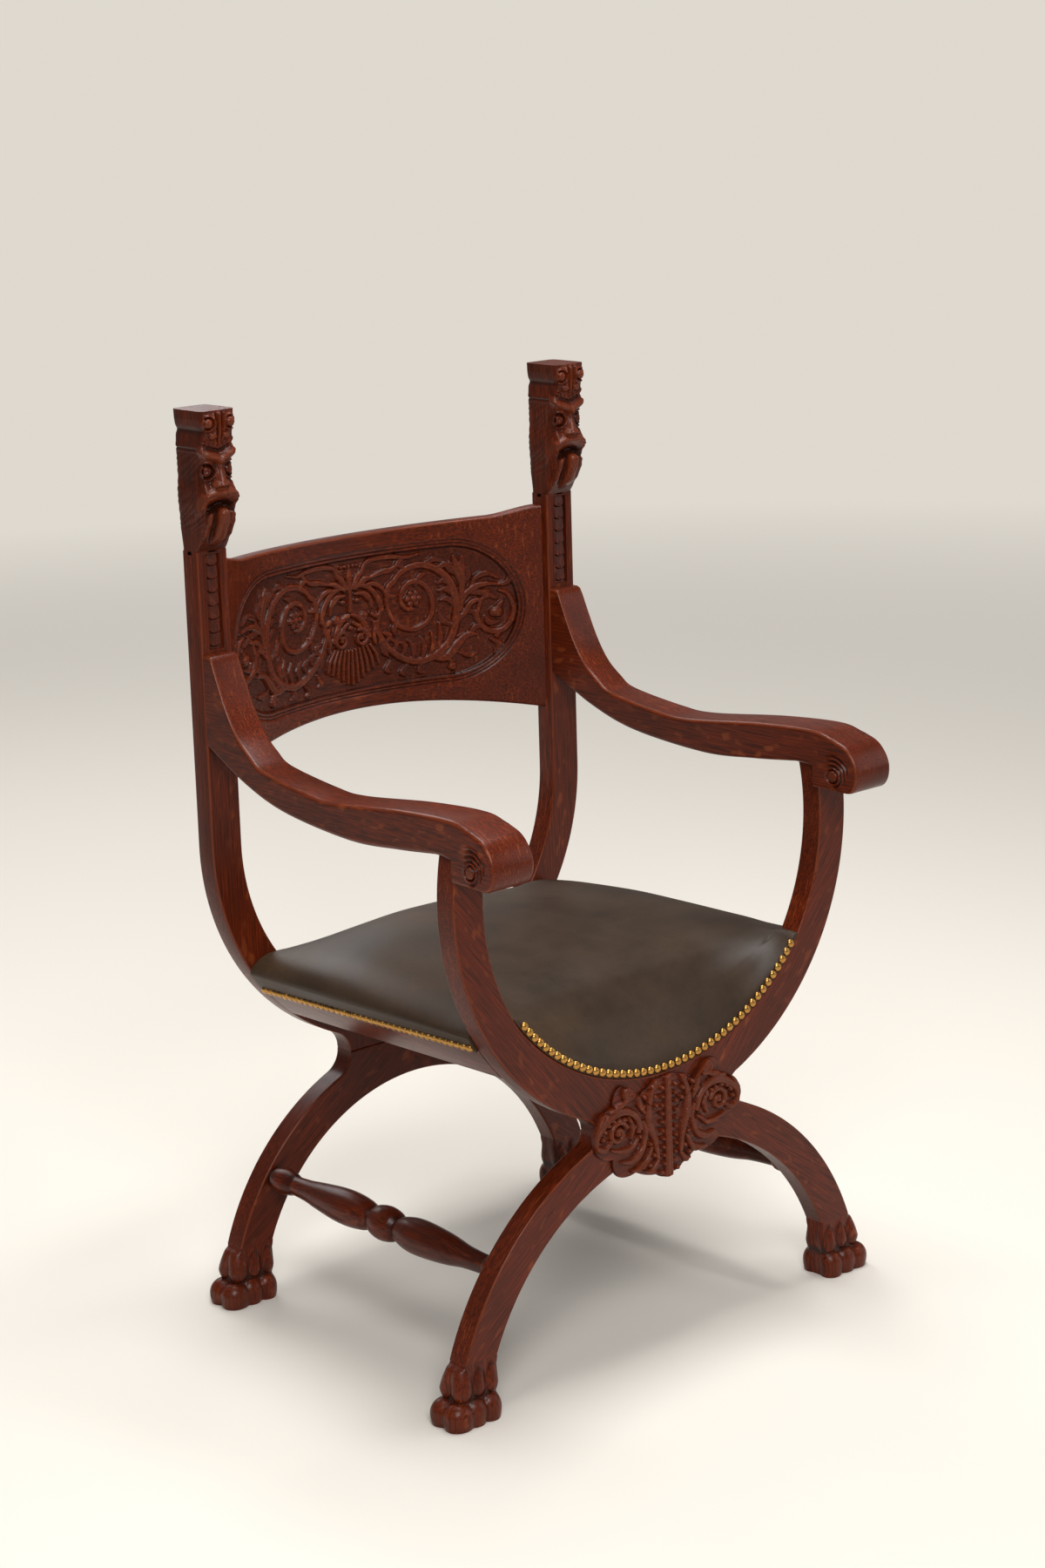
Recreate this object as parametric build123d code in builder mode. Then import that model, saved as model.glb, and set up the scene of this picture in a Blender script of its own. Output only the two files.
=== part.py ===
from build123d import *

# Savonarola armchair: two curule frames, each an upright bowl of two quarter
# rings standing on an arch of two more, joined by seat rails, turned
# stretchers, scrolled arms and a dished back board. Millimetres, +Z up, the
# sitter faces -Y. The origin lies on the floor under the middle of the
# bounding box.

import os
from math import asin, cos, degrees, radians, sin, sqrt

# ---------------------------------------------------------------- sizes
overall_height = 1067.0
stock = 28.0                # thickness of every frame board
frame_gap = 411.5           # clear distance between the two frames

# front frame
front_bowl_z = 576.4        # height of the bowl's centre
front_bowl_inner = 259.0
front_bowl_width = 42.0
front_arch_z = -42.6        # the arch's centre, below the floor
front_arch_inner = 282.7
front_arch_width = 43.3
front_cove = 20.0           # radius where bowl and arch part

# rear frame
rear_bowl_z = 561.5
rear_bowl_inner = 244.6
rear_bowl_width = 42.0
rear_arch_z = -24.2
rear_arch_inner = 246.9
rear_arch_width = 45.4
rear_cove = 30.0

# the drop under the front hub that backs the cartouche
drop_half_width = 58.0
drop_depth = 33.0

# paws
paw_height = 70.0
paw_depth = 54.0            # front to back
paw_toe_reach = 27.0        # how far the toes stand out beyond the leg
toe_radius = 12.5
toe_height = 31.0
toe_waist = 0.7             # the toe's sole and its neck, as shares of its radius
heel_toe_lap = 3.0          # how far the rear toes stand out behind the leg's inner edge
knuckle_radius = 12.0
knuckle_length = 26.4

# arms
arm_inset = 1.4             # the arm's inner face, outside the bowl's inside
arm_rear_width = 40.0
arm_scroll_width = 58.7
arm_seat_z = 635.5          # where the front post meets the arm
arm_crest_rise = 41.5       # the arm's top over the front post
arm_dip = 17.0              # lowest place of the top edge, below that crest
arm_depth_mid = 38.0
arm_heel_rise = 47.5        # where the underside meets the stile, above the post's top
arm_tip_rise = 154.5        # the tip, above the post's top
arm_tip_length = 34.0       # the glued-on tip, from its seam up
arm_tip_thickness = 13.0
arm_tip_round = 3.0
arm_upsweep = ((24.0, 27.0), (58.0, 86.0))      # in front of the stile, below the tip
arm_top_run = ((105.0, 13.0), (186.0, 1.5), (237.0, 0.0))   # the same, above the lowest place
arm_top_rise = (60.0, 8.0)  # behind the front frame, below the crest
arm_belly_front = ((66.0, 6.0), (150.0, 0.0))   # behind the front frame, above the belly
arm_belly_rear = ((145.0, 9.0), (70.0, 29.0))   # in front of the stile, above the belly
scroll_reach = 68.5         # the nose, in front of the front frame
scroll_drop = 26.0          # the scroll's underside, below the post's top
scroll_nose_drop = 0.5      # its foremost place, below the post's top
scroll_shoulder = ((32.9, 9.5), (9.0, 25.0))    # behind the nose, below the crest
scroll_heel = 14.0          # flat of the scroll's underside, behind the nose

# the volute on both sides of the scroll: an eye in a ring, and flutes that sweep round it
volute_set_back = 37.0      # the eye, behind the nose
volute_drop = 9.5           # the eye, below the post's top
volute_eye_radius = 5.5
volute_ring = 2.6
volute_flutes = ((11.8, -100.0, 230.0), (17.6, -20.0, 140.0), (23.6, 10.0, 105.0))
flute_width = 3.0
flute_depth = 1.2

# stile heads
head_bottom_z = 907.0
head_proud = 26.5           # the carved head, in front of the stile
head_set_back = 6.0         # the head's back, in front of the stile's back
head_back_slope = 12.0
face_depth = 4.5            # the cheeks, behind the nose
beard_z = 16.0              # heights of the face above the head's bottom
chin_z = 40.0
chin_set_back = 1.0         # the chin, behind the nose
mouth_z = 56.0
lip_z = 66.0
nose_z = 76.0
eye_z = 89.0
brow_z = 102.0
beard_share = 0.55          # how far the beard stands out at its middle
nose_width = 9.0
mouth_depth = 7.0
mouth_radius = 3.2
lip_radius = 6.0
eye_spread = 14.5
eye_radius = 5.2
brow_radius = 5.0
brow_fall = 12.0            # degrees by which each brow falls outwards
cap_height = 27.0
cap_overhang = 1.2
cap_groove = 1.6
cap_curl_radius = 7.5
cap_curl_spread = 12.0
channel_width = 19.0
channel_depth = 3.6
channel_bottom_z = 797.0
scale_count = 7
scale_proud = 2.6           # a scale's lower lip, in front of the channel's floor
scale_rise = 0.25           # how proud its upper end is, as a share of its lip
scale_root = 1.0            # how far it goes on into the stile
scale_clear = 0.6           # between the scales and the channel's sides

# back board
board_thickness = 19.0
board_sagitta = 76.0        # how far its middle stands behind its ends
board_end_set_back = 11.0   # its front edge, behind the stile's front
board_top_z = 879.0
board_ear_z = 901.0
board_bottom_z = 665.0
board_bottom_end_z = 638.0
ear_width = 14.0
ear_sweep = 34.0
ear_foot_rise = 6.0         # the top edge at the foot of the sweep, above its middle
ear_run = 75.0              # from the ear in to the long top curve
ear_run_rise = 2.5
field_z = 770.0
field_half_length = 218.0
field_half_height = 81.0
field_depth = 4.5
field_line = 3.4            # the incised line round the field, outside its edge
field_line_width = 1.8
field_line_depth = 1.4

# the carving in the field, measured from its middle: spiral scrolls, their stem and the mask
scroll_top = 0.8            # the scrolls' crests, behind the board's face
scroll_band = 9.0
curl_band = 7.0
scroll_x = 91.0
scroll_z = 23.0
scroll_radii = (50.0, 41.0, 31.0, 20.0)
outer_curl_x = 188.0
outer_curl_z = -12.0
outer_curl_radii = (20.0, 12.0)
curl_eye_radius = 5.5
stem_points = ((26.0, -14.0), (48.0, -34.0), (80.0, -42.0), (112.0, -36.0), (142.0, -12.0), (156.0, 30.0))
leaf_points = ((152.0, 48.0), (166.0, 62.0), (184.0, 44.0), (172.0, 10.0))
mask_half_width = 27.0
mask_half_height = 33.0
mask_z = 10.0
crest_half_width = 9.0
crest_height = 34.0
crest_spread = 24.0         # degrees between the plumes over the mask
beard_drop = 22.0

# seat frame
rail_thickness = 28.0
front_rail_top_z = 418.0
front_rail_bottom_angle = 43.7  # degrees below the bowl's springing line
rear_rail_top_z = 398.0
rear_rail_bottom_angle = 50.1
rail_spare = 8.0                # degrees of rail above its top, planed off level
foot_rise = 10.0                # extra wood in the foot of the front bowl
foot_half_width = 213.0
board_set_back = 5.5            # front seat board, behind the bowl's face
board_rise = 17.0
bearer_thickness = 22.0
bearer_height = 42.0
bearer_cope = 2.0               # spare length at each end, coped to the rail
bearer_set_back = 40.0          # front bearer, behind the front frame

# upholstery
web_width = 50.0
web_thickness = 2.0
web_clear = 0.1                 # between the two layers of webs, and under the canvas
web_pitch = 72.0
web_count_across = 5
web_count_along = 5
web_turn = 16.0                 # how far a web lies on the wood that carries it
cloth_thickness = 1.6
dust_inset = 4.0                # the dust cloth's hem, inside the bearers' edges
dust_clear = 2.0                # between the dust cloth and the rails
leather_thickness = 3.0
leather_clear = 0.3
seat_stations = (               # share of the depth, middle height, crest height, sag
    (0.0, 391.0, 437.0, 58.0),
    (0.05, 413.0, 439.0, 32.0),
    (0.1, 430.0, 441.0, 0.0),
    (0.2, 443.0, 444.0, 0.0),
    (0.5, 455.0, 447.0, 0.0),
    (0.84, 444.0, 439.0, 0.0),
    (1.0, 425.0, 427.0, 0.0),
)
seat_break = 2                  # the station where the seat levels out, over the front bearer
seat_lap = 3.0                  # the front leather, behind the front frame's back
crest_share = 0.82              # where the crest stands, as a share of the half width
sag_share = 0.75                # of the sag, half way out to the crest
rear_flap_height = 62.0
rear_flap_lap = 2.0             # how far it runs up into the seat

# brass nails
nail_head = 10.4
nail_proud = 3.6
nail_pitch = 10.6
nail_hem = 5.8                  # from the leather's edge to the nails' middles
nail_margin = 2.0               # flat leather above the front nails' hem
nail_taper = 38.0
front_nail_angle = 33.0
rear_nail_angle = 38.4
side_nail_count = 38

# turned stretchers
stretcher_front_x = 230.0
stretcher_front_z = 150.0
stretcher_rear_x = 222.0
stretcher_rear_z = 146.0
stretcher_shares = (0.042, 0.133, 0.333, 0.425, 0.533, 0.625, 0.833, 0.892)  # collar to end ball
stretcher_neck = 12.0
stretcher_collar = 14.5
stretcher_waist = 13.5
stretcher_ball_neck = 13.0
stretcher_end_neck = 10.0
stretcher_swell = 20.5
stretcher_ball = 20.5
stretcher_end_ball = 15.0
tenon_radius = 8.0
tenon_length = 18.0
shoulder_clear = 0.4            # the shoulders stand just clear of the legs' faces

# cartouche
cartouche_z = 267.0
cartouche_half_height = 59.0
cartouche_half_width = 62.0
cartouche_thickness = 10.0
cartouche_scroll_x = 84.0
cartouche_scroll_z = 276.0
cartouche_scroll_radius = 31.0
cartouche_rosette_x = 70.0
cartouche_rosette_z = 314.0
cartouche_rosette_radius = 16.0
cartouche_base = 5.0        # the ground that the relief stands on
cartouche_edge = 4.0        # plain edge of the ground, outside the relief
cartouche_leaf_half_width = 11.0
cartouche_side_leaf_half_width = 7.5
cartouche_side_leaf_half_height = 44.0
cartouche_side_leaf_x = 22.0
cartouche_side_leaf_lean = 16.0
volute_band = 8.0
volute_radii = (26.0, 19.0, 12.0)

# dowels
dowel_radius = 5.0
dowel_half = 16.0
dowel_clear = 0.1
board_dowel_radius = 3.0
board_dowel_in_board = 8.0
board_dowel_in_stile = 14.0
board_dowel_z = (690.0, 765.0, 845.0)
hub_dowel_share = 0.62      # from the middle out to the drop's end
dowel_edge = 12.0           # from the middle of the arm's upper dowel to the tip's seam
arm_dowel_pitch = 36.0
board_dowel_cover = 2.0     # wood behind the back board's dowels

# ------------------------------------------------- places from the sizes
front_bowl_outer = front_bowl_inner + front_bowl_width
front_arch_outer = front_arch_inner + front_arch_width
rear_bowl_outer = rear_bowl_inner + rear_bowl_width
rear_arch_outer = rear_arch_inner + rear_arch_width

# plan radius of the back board's front face, from its chord and sagitta
board_radius = (rear_bowl_inner**2 + board_sagitta**2) / (2 * board_sagitta)
board_behind = board_end_set_back + board_sagitta + board_thickness - stock
overall_depth = scroll_reach + stock + frame_gap + stock + board_behind

front_y = scroll_reach - overall_depth / 2      # front face of the front frame
front_back_y = front_y + stock
rear_y = front_back_y + frame_gap               # front face of the rear frame
rear_back_y = rear_y + stock
board_centre_y = rear_y + board_end_set_back + board_sagitta - board_radius
front_mid_y = front_y + stock / 2
rear_mid_y = rear_y + stock / 2

arm_crest_z = arm_seat_z + arm_crest_rise
arm_low_z = arm_crest_z - arm_dip
arm_belly_z = arm_low_z - arm_depth_mid
arm_heel_z = arm_seat_z + arm_heel_rise
arm_tip_z = arm_seat_z + arm_tip_rise
arm_tip_seam_z = arm_tip_z - arm_tip_length
scroll_bottom_z = arm_seat_z - scroll_drop

# the foot of the front bowl is filled to a flatter curve than the bowl's inside
foot_bottom_z = front_bowl_z - front_bowl_inner + foot_rise
foot_edge_z = front_bowl_z - sqrt(front_bowl_inner**2 - foot_half_width**2)
foot_sagitta = foot_edge_z - foot_bottom_z
foot_radius = (foot_half_width**2 + foot_sagitta**2) / (2 * foot_sagitta)
foot_centre_z = foot_bottom_z + foot_radius


def cove_place(bowl_z, bowl_r, arch_z, arch_r, cove):
    """Centre (x, z) of the circle that touches the bowl and the arch from outside."""
    upper = bowl_r + cove
    lower = arch_r + cove
    z = (lower**2 - upper**2 + bowl_z**2 - arch_z**2) / (2 * (bowl_z - arch_z))
    return sqrt(upper**2 - (bowl_z - z) ** 2), z


front_cove_x, front_joint_z = cove_place(
    front_bowl_z, front_bowl_outer, front_arch_z, front_arch_outer, front_cove
)
rear_cove_x, rear_joint_z = cove_place(
    rear_bowl_z, rear_bowl_outer, rear_arch_z, rear_arch_outer, rear_cove
)


# ------------------------------------------------------- frame members
def upper_quarter(back_y, bowl_z, inner, outer, cove_x, joint_z, cove, top_z):
    """A quarter of the bowl with its half of the hub, cut flat at the joints."""
    touch = outer / (outer + cove)
    touch_x = cove_x * touch
    touch_z = bowl_z + (joint_z - bowl_z) * touch
    with BuildPart() as quarter:
        with BuildSketch(Plane.XZ.offset(-back_y)):
            with Locations((0, bowl_z)):
                Circle(outer)
            with Locations((0, joint_z)):
                Rectangle(touch_x, touch_z - joint_z, align=(Align.MIN, Align.MIN))
            with Locations((cove_x, joint_z)):
                Circle(cove, mode=Mode.SUBTRACT)
            with Locations((0, bowl_z)):
                Circle(inner, mode=Mode.SUBTRACT)
            with Locations((0, joint_z)):
                Rectangle(outer, top_z - joint_z, align=(Align.MIN, Align.MIN), mode=Mode.INTERSECT)
        extrude(amount=stock)
    return quarter


def lower_quarter(back_y, arch_z, inner, outer, cove_x, joint_z, cove, drop):
    """A quarter of the arch with its half of the hub, cut flat on the paw."""
    touch = outer / (outer + cove)
    touch_x = cove_x * touch
    touch_z = arch_z + (joint_z - arch_z) * touch
    with BuildPart() as quarter:
        with BuildSketch(Plane.XZ.offset(-back_y)):
            with Locations((0, arch_z)):
                Circle(outer)
            with Locations((0, joint_z)):
                Rectangle(touch_x, joint_z - touch_z, align=(Align.MIN, Align.MAX))
            with Locations((cove_x, joint_z)):
                Circle(cove, mode=Mode.SUBTRACT)
            with Locations((0, arch_z)):
                Circle(inner, mode=Mode.SUBTRACT)
            if drop:
                with Locations((0, arch_z + inner)):
                    Ellipse(drop_half_width, drop_depth)
            with Locations((0, paw_height)):
                Rectangle(outer, joint_z - paw_height, align=(Align.MIN, Align.MIN), mode=Mode.INTERSECT)
        extrude(amount=stock)
    return quarter


def bore(radius, origin, direction, depth):
    """A blind hole drilled from a point along a direction, cut from the open part."""
    with BuildSketch(Plane(origin=origin, z_dir=direction)) as mouth:
        Circle(radius + dowel_clear)
    extrude(mouth.sketch, amount=depth, mode=Mode.SUBTRACT)


# places of the hub dowels: across the middle joint, and up through the flat joint
front_upper_dowel_z = (front_joint_z + front_bowl_z - front_bowl_inner) / 2
front_lower_dowel_z = front_joint_z - (front_upper_dowel_z - front_joint_z)
rear_upper_dowel_z = (rear_joint_z + rear_bowl_z - rear_bowl_inner) / 2
rear_lower_dowel_z = (rear_joint_z + rear_arch_z + rear_arch_inner) / 2
hub_dowel_x = drop_half_width * hub_dowel_share
hub_dowel_half = (front_bowl_z - front_bowl_inner - front_joint_z) / 2

# where the legs stand on the paws, and the posts under the arms
front_leg_inner_x = sqrt(front_arch_inner**2 - (paw_height - front_arch_z) ** 2)
front_leg_outer_x = sqrt(front_arch_outer**2 - (paw_height - front_arch_z) ** 2)
rear_leg_inner_x = sqrt(rear_arch_inner**2 - (paw_height - rear_arch_z) ** 2)
rear_leg_outer_x = sqrt(rear_arch_outer**2 - (paw_height - rear_arch_z) ** 2)
post_rise = arm_seat_z - front_bowl_z
post_inner_x = sqrt(front_bowl_inner**2 - post_rise**2)
post_outer_x = sqrt(front_bowl_outer**2 - post_rise**2)
post_mid_x = (post_inner_x + post_outer_x) / 2
stile_mid_x = rear_bowl_inner + rear_bowl_width / 2

# the stretcher's axis, from the front leg's back face to the rear leg's front face
stretcher_start = Vector(stretcher_front_x, front_back_y, stretcher_front_z)
stretcher_end = Vector(stretcher_rear_x, rear_y, stretcher_rear_z)
stretcher_axis = (stretcher_end - stretcher_start).normalized()
stretcher_length = (stretcher_end - stretcher_start).length

with BuildPart() as front_post_right:
    add(
        upper_quarter(
            front_back_y, front_bowl_z, front_bowl_inner, front_bowl_outer,
            front_cove_x, front_joint_z, front_cove, arm_seat_z,
        ).part
    )
    with BuildSketch(Plane.XZ.offset(-front_back_y)):
        with Locations((0, front_bowl_z)):
            Circle(front_bowl_inner + dowel_clear)
        with Locations((0, foot_centre_z)):
            Circle(foot_radius, mode=Mode.SUBTRACT)
        Rectangle(
            front_bowl_outer, front_bowl_z, align=(Align.MIN, Align.MIN), mode=Mode.INTERSECT
        )
    extrude(amount=stock)
    bore(dowel_radius, (0, front_mid_y, front_upper_dowel_z), (1, 0, 0), dowel_half)
    bore(dowel_radius, (hub_dowel_x, front_mid_y, front_joint_z), (0, 0, 1), hub_dowel_half)
    bore(dowel_radius, (post_mid_x, front_mid_y, arm_seat_z), (0, 0, -1), dowel_half)

with BuildPart() as front_leg_right:
    add(
        lower_quarter(
            front_back_y, front_arch_z, front_arch_inner, front_arch_outer,
            front_cove_x, front_joint_z, front_cove, True,
        ).part
    )
    bore(dowel_radius, (0, front_mid_y, front_lower_dowel_z), (1, 0, 0), dowel_half)
    bore(dowel_radius, (hub_dowel_x, front_mid_y, front_joint_z), (0, 0, -1), hub_dowel_half)
    bore(
        tenon_radius, tuple(stretcher_start + stretcher_axis * shoulder_clear),
        tuple(-stretcher_axis), tenon_length + shoulder_clear + dowel_clear,
    )
    bore(
        dowel_radius, ((front_leg_inner_x + front_leg_outer_x) / 2, front_mid_y, paw_height),
        (0, 0, 1), dowel_half,
    )

with BuildPart() as rear_leg_right:
    add(
        lower_quarter(
            rear_back_y, rear_arch_z, rear_arch_inner, rear_arch_outer,
            rear_cove_x, rear_joint_z, rear_cove, False,
        ).part
    )
    bore(dowel_radius, (0, rear_mid_y, rear_lower_dowel_z), (1, 0, 0), dowel_half)
    bore(dowel_radius, (hub_dowel_x, rear_mid_y, rear_joint_z), (0, 0, -1), hub_dowel_half)
    bore(
        tenon_radius, tuple(stretcher_end - stretcher_axis * shoulder_clear),
        tuple(stretcher_axis), tenon_length + shoulder_clear + dowel_clear,
    )
    bore(
        dowel_radius, ((rear_leg_inner_x + rear_leg_outer_x) / 2, rear_mid_y, paw_height),
        (0, 0, 1), dowel_half,
    )

# ------------------------------------------------------------ rear stiles
upper_arm_dowel_z = arm_tip_seam_z - dowel_edge
arm_dowel_zs = (upper_arm_dowel_z - arm_dowel_pitch, upper_arm_dowel_z)
board_dowel_y = rear_back_y - board_dowel_radius - board_dowel_cover
head_front_y = rear_y - head_proud
head_back_y = rear_back_y - head_set_back
face_y = head_front_y + face_depth
chin_y = head_front_y + chin_set_back
cap_bottom_z = overall_height - cap_height
scale_pitch = (head_bottom_z - channel_bottom_z) / scale_count


def head_roll(z, radius, length, centre_x, fall=0.0):
    """A round roll across the face, such as a lip or a brow, sunk by half into the wood."""
    with BuildPart(mode=Mode.PRIVATE) as roll:
        with BuildSketch(Plane.YZ.offset(-length / 2)):
            Circle(radius)
        extrude(amount=length)
    place = (centre_x, head_front_y + radius, head_bottom_z + z)
    return roll.part.moved(Location(place, (0, fall, 0)))


def scale():
    """One hanging scale: thin at its root, proud at its rounded lower lip."""
    width = channel_width - 2 * scale_clear
    with BuildPart(mode=Mode.PRIVATE) as plate:
        with BuildSketch(Plane.YZ.offset(-width / 2)):
            with BuildLine():
                Polyline(
                    (scale_root, scale_pitch), (scale_root, 0), (-scale_proud, 0),
                    (-scale_proud * scale_rise, scale_pitch), close=True,
                )
            make_face()
        extrude(amount=width)
        with BuildSketch(Plane.XZ.offset(-scale_root)):
            with Locations((0, width / 2)):
                Circle(width / 2)
                Rectangle(width, scale_pitch, align=(Align.CENTER, Align.MIN))
        extrude(amount=scale_proud + scale_root, mode=Mode.INTERSECT)
    return plate.part


with BuildPart() as rear_stile_right:
    add(
        upper_quarter(
            rear_back_y, rear_bowl_z, rear_bowl_inner, rear_bowl_outer,
            rear_cove_x, rear_joint_z, rear_cove, rear_bowl_z,
        ).part
    )
    with BuildSketch(Plane.XY.offset(rear_bowl_z)):
        with Locations((rear_bowl_inner, rear_y)):
            Rectangle(rear_bowl_width, stock, align=(Align.MIN, Align.MIN))
    extrude(amount=head_bottom_z - rear_bowl_z)
    # the carved head: the side outline of cheeks and beard, then the face on it
    with BuildSketch(Plane.YZ.offset(rear_bowl_inner)):
        with BuildLine():
            beard = Spline(
                (rear_y, head_bottom_z),
                (rear_y - head_proud * beard_share, head_bottom_z + beard_z),
                (chin_y, head_bottom_z + chin_z),
                tangents=((-0.6, 1), (0.1, 1)),
            )
            Polyline(
                beard @ 1,
                (chin_y, head_bottom_z + mouth_z),
                (face_y, head_bottom_z + lip_z),
                (face_y, cap_bottom_z),
                (head_back_y, cap_bottom_z),
                (head_back_y, head_bottom_z + head_back_slope),
                (rear_back_y, head_bottom_z),
                beard @ 0,
            )
        make_face()
    extrude(amount=rear_bowl_width)
    # the nose, a ridge that widens downwards
    with BuildSketch(Plane.XZ.offset(-head_front_y - face_depth)):
        with BuildLine():
            Polyline(
                (stile_mid_x - nose_width / 4, head_bottom_z + brow_z),
                (stile_mid_x + nose_width / 4, head_bottom_z + brow_z),
                (stile_mid_x + nose_width / 2, head_bottom_z + nose_z),
                (stile_mid_x - nose_width / 2, head_bottom_z + nose_z),
                close=True,
            )
        make_face()
    extrude(amount=face_depth)
    # the upper lip with its moustache, the brows, and the eyes under them
    add(head_roll(lip_z, lip_radius, rear_bowl_width, stile_mid_x))
    for side in (-1, 1):
        brow_length = rear_bowl_width / 2
        add(
            head_roll(
                brow_z, brow_radius, brow_length, stile_mid_x + side * brow_length / 2,
                side * brow_fall,
            )
        )
        eye_y = head_front_y + eye_radius
        with Locations((stile_mid_x + side * eye_spread, eye_y, head_bottom_z + eye_z)):
            Sphere(eye_radius)
    # the open mouth
    with BuildSketch(Plane.YZ.offset(rear_bowl_inner - cap_overhang)):
        with Locations((head_front_y + mouth_depth / 2, head_bottom_z + mouth_z)):
            SlotOverall(mouth_depth + 2 * mouth_radius, 2 * mouth_radius)
    extrude(amount=rear_bowl_width + 2 * cap_overhang, mode=Mode.SUBTRACT)
    # the cap, cut off from the forehead by a groove, with a curl on each side of its front
    with BuildSketch(Plane.XY.offset(cap_bottom_z)):
        with Locations((rear_bowl_inner - cap_overhang, head_front_y + face_depth / 2)):
            Rectangle(
                rear_bowl_width + 2 * cap_overhang, head_back_y - head_front_y - face_depth / 2,
                align=(Align.MIN, Align.MIN),
            )
    extrude(amount=cap_height)
    with BuildSketch(Plane.XZ.offset(-head_front_y - face_depth / 2)):
        for side in (-1, 1):
            with Locations((stile_mid_x + side * cap_curl_spread, overall_height - cap_height / 2)):
                Circle(cap_curl_radius)
                Circle(cap_curl_radius - cap_groove, mode=Mode.SUBTRACT)
                Circle(cap_curl_radius - 2 * cap_groove)
    extrude(amount=face_depth / 2)
    # the sunk channel down the front, with its row of overlapping scales
    with BuildSketch(Plane.XZ.offset(-rear_y)):
        with Locations((stile_mid_x, channel_bottom_z)):
            Rectangle(
                channel_width, head_bottom_z - channel_bottom_z, align=(Align.CENTER, Align.MIN)
            )
    extrude(amount=-channel_depth, mode=Mode.SUBTRACT)
    for index in range(scale_count):
        z = channel_bottom_z + index * scale_pitch
        add(scale().moved(Location((stile_mid_x, rear_y + channel_depth, z))))
    bore(dowel_radius, (0, rear_mid_y, rear_upper_dowel_z), (1, 0, 0), dowel_half)
    bore(dowel_radius, (hub_dowel_x, rear_mid_y, rear_joint_z), (0, 0, 1), hub_dowel_half)
    for z in arm_dowel_zs:
        bore(dowel_radius, (stile_mid_x, rear_y, z), (0, 1, 0), dowel_half)
    for z in board_dowel_z:
        bore(board_dowel_radius, (rear_bowl_inner, board_dowel_y, z), (1, 0, 0), board_dowel_in_stile)


# ------------------------------------------------------------------ paws
def paw(mid_y, inner_x, outer_x):
    """A lion's paw under a leg: a tapered heel with three toes on each side."""
    toe_x = (
        outer_x + paw_toe_reach - toe_radius,
        (inner_x + outer_x + paw_toe_reach) / 2,
        inner_x + toe_radius - heel_toe_lap,
    )
    toe_y = paw_depth / 2 - toe_radius
    with BuildPart() as foot:
        with BuildSketch(Plane.XY):
            with Locations((inner_x, mid_y)):
                Rectangle(
                    outer_x - inner_x + paw_toe_reach - toe_radius, paw_depth - toe_radius,
                    align=(Align.MIN, Align.CENTER),
                )
        with BuildSketch(Plane.XY.offset(paw_height)):
            with Locations((inner_x, mid_y)):
                Rectangle(outer_x - inner_x, stock, align=(Align.MIN, Align.CENTER))
        loft()
        for x in toe_x:
            for side in (-1, 1):
                toe = (x, mid_y + side * toe_y, 0)
                with BuildSketch(Plane(origin=toe, z_dir=(0, -1, 0), x_dir=(1, 0, 0))):
                    with BuildLine():
                        claw = ThreePointArc(
                            (toe_radius * toe_waist, 0),
                            (toe_radius, toe_height / 2),
                            (toe_radius * toe_waist, toe_height),
                        )
                        knuckle = ThreePointArc(
                            claw @ 1,
                            (knuckle_radius, toe_height + knuckle_length / 2),
                            (0, toe_height + knuckle_length),
                        )
                        Polyline(knuckle @ 1, (0, 0), claw @ 0)
                    make_face()
                revolve(axis=Axis(toe, (0, 0, 1)))
        bore(dowel_radius, ((inner_x + outer_x) / 2, mid_y, paw_height), (0, 0, -1), dowel_half)
    return foot


front_paw_right = paw(front_mid_y, front_leg_inner_x, front_leg_outer_x)
rear_paw_right = paw(rear_mid_y, rear_leg_inner_x, rear_leg_outer_x)

# ------------------------------------------------------------------ arms
arm_inner_x = rear_bowl_inner + arm_inset
nose_y = front_y - scroll_reach

arm_outer = Plane(
    origin=(arm_inner_x + arm_rear_width, rear_y, 0),
    x_dir=(arm_rear_width - arm_scroll_width, rear_y - nose_y, 0),
    z_dir=(rear_y - nose_y, arm_scroll_width - arm_rear_width, 0),
)


def volute(face):
    """The eye's ring and the flutes round it, cut into one side of the open arm."""
    eye = face.to_local_coords(
        Vector(arm_inner_x, nose_y + volute_set_back, arm_seat_z - volute_drop)
    )
    with BuildSketch(face) as cuts:
        with Locations((eye.X, eye.Y)):
            Circle(volute_eye_radius + volute_ring)
            Circle(volute_eye_radius, mode=Mode.SUBTRACT)
        for radius, start, sweep in volute_flutes:
            SlotArc(CenterArc((eye.X, eye.Y), radius, 180 - start - sweep, sweep), flute_width)
    extrude(cuts.sketch, amount=-flute_depth, mode=Mode.SUBTRACT)


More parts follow.
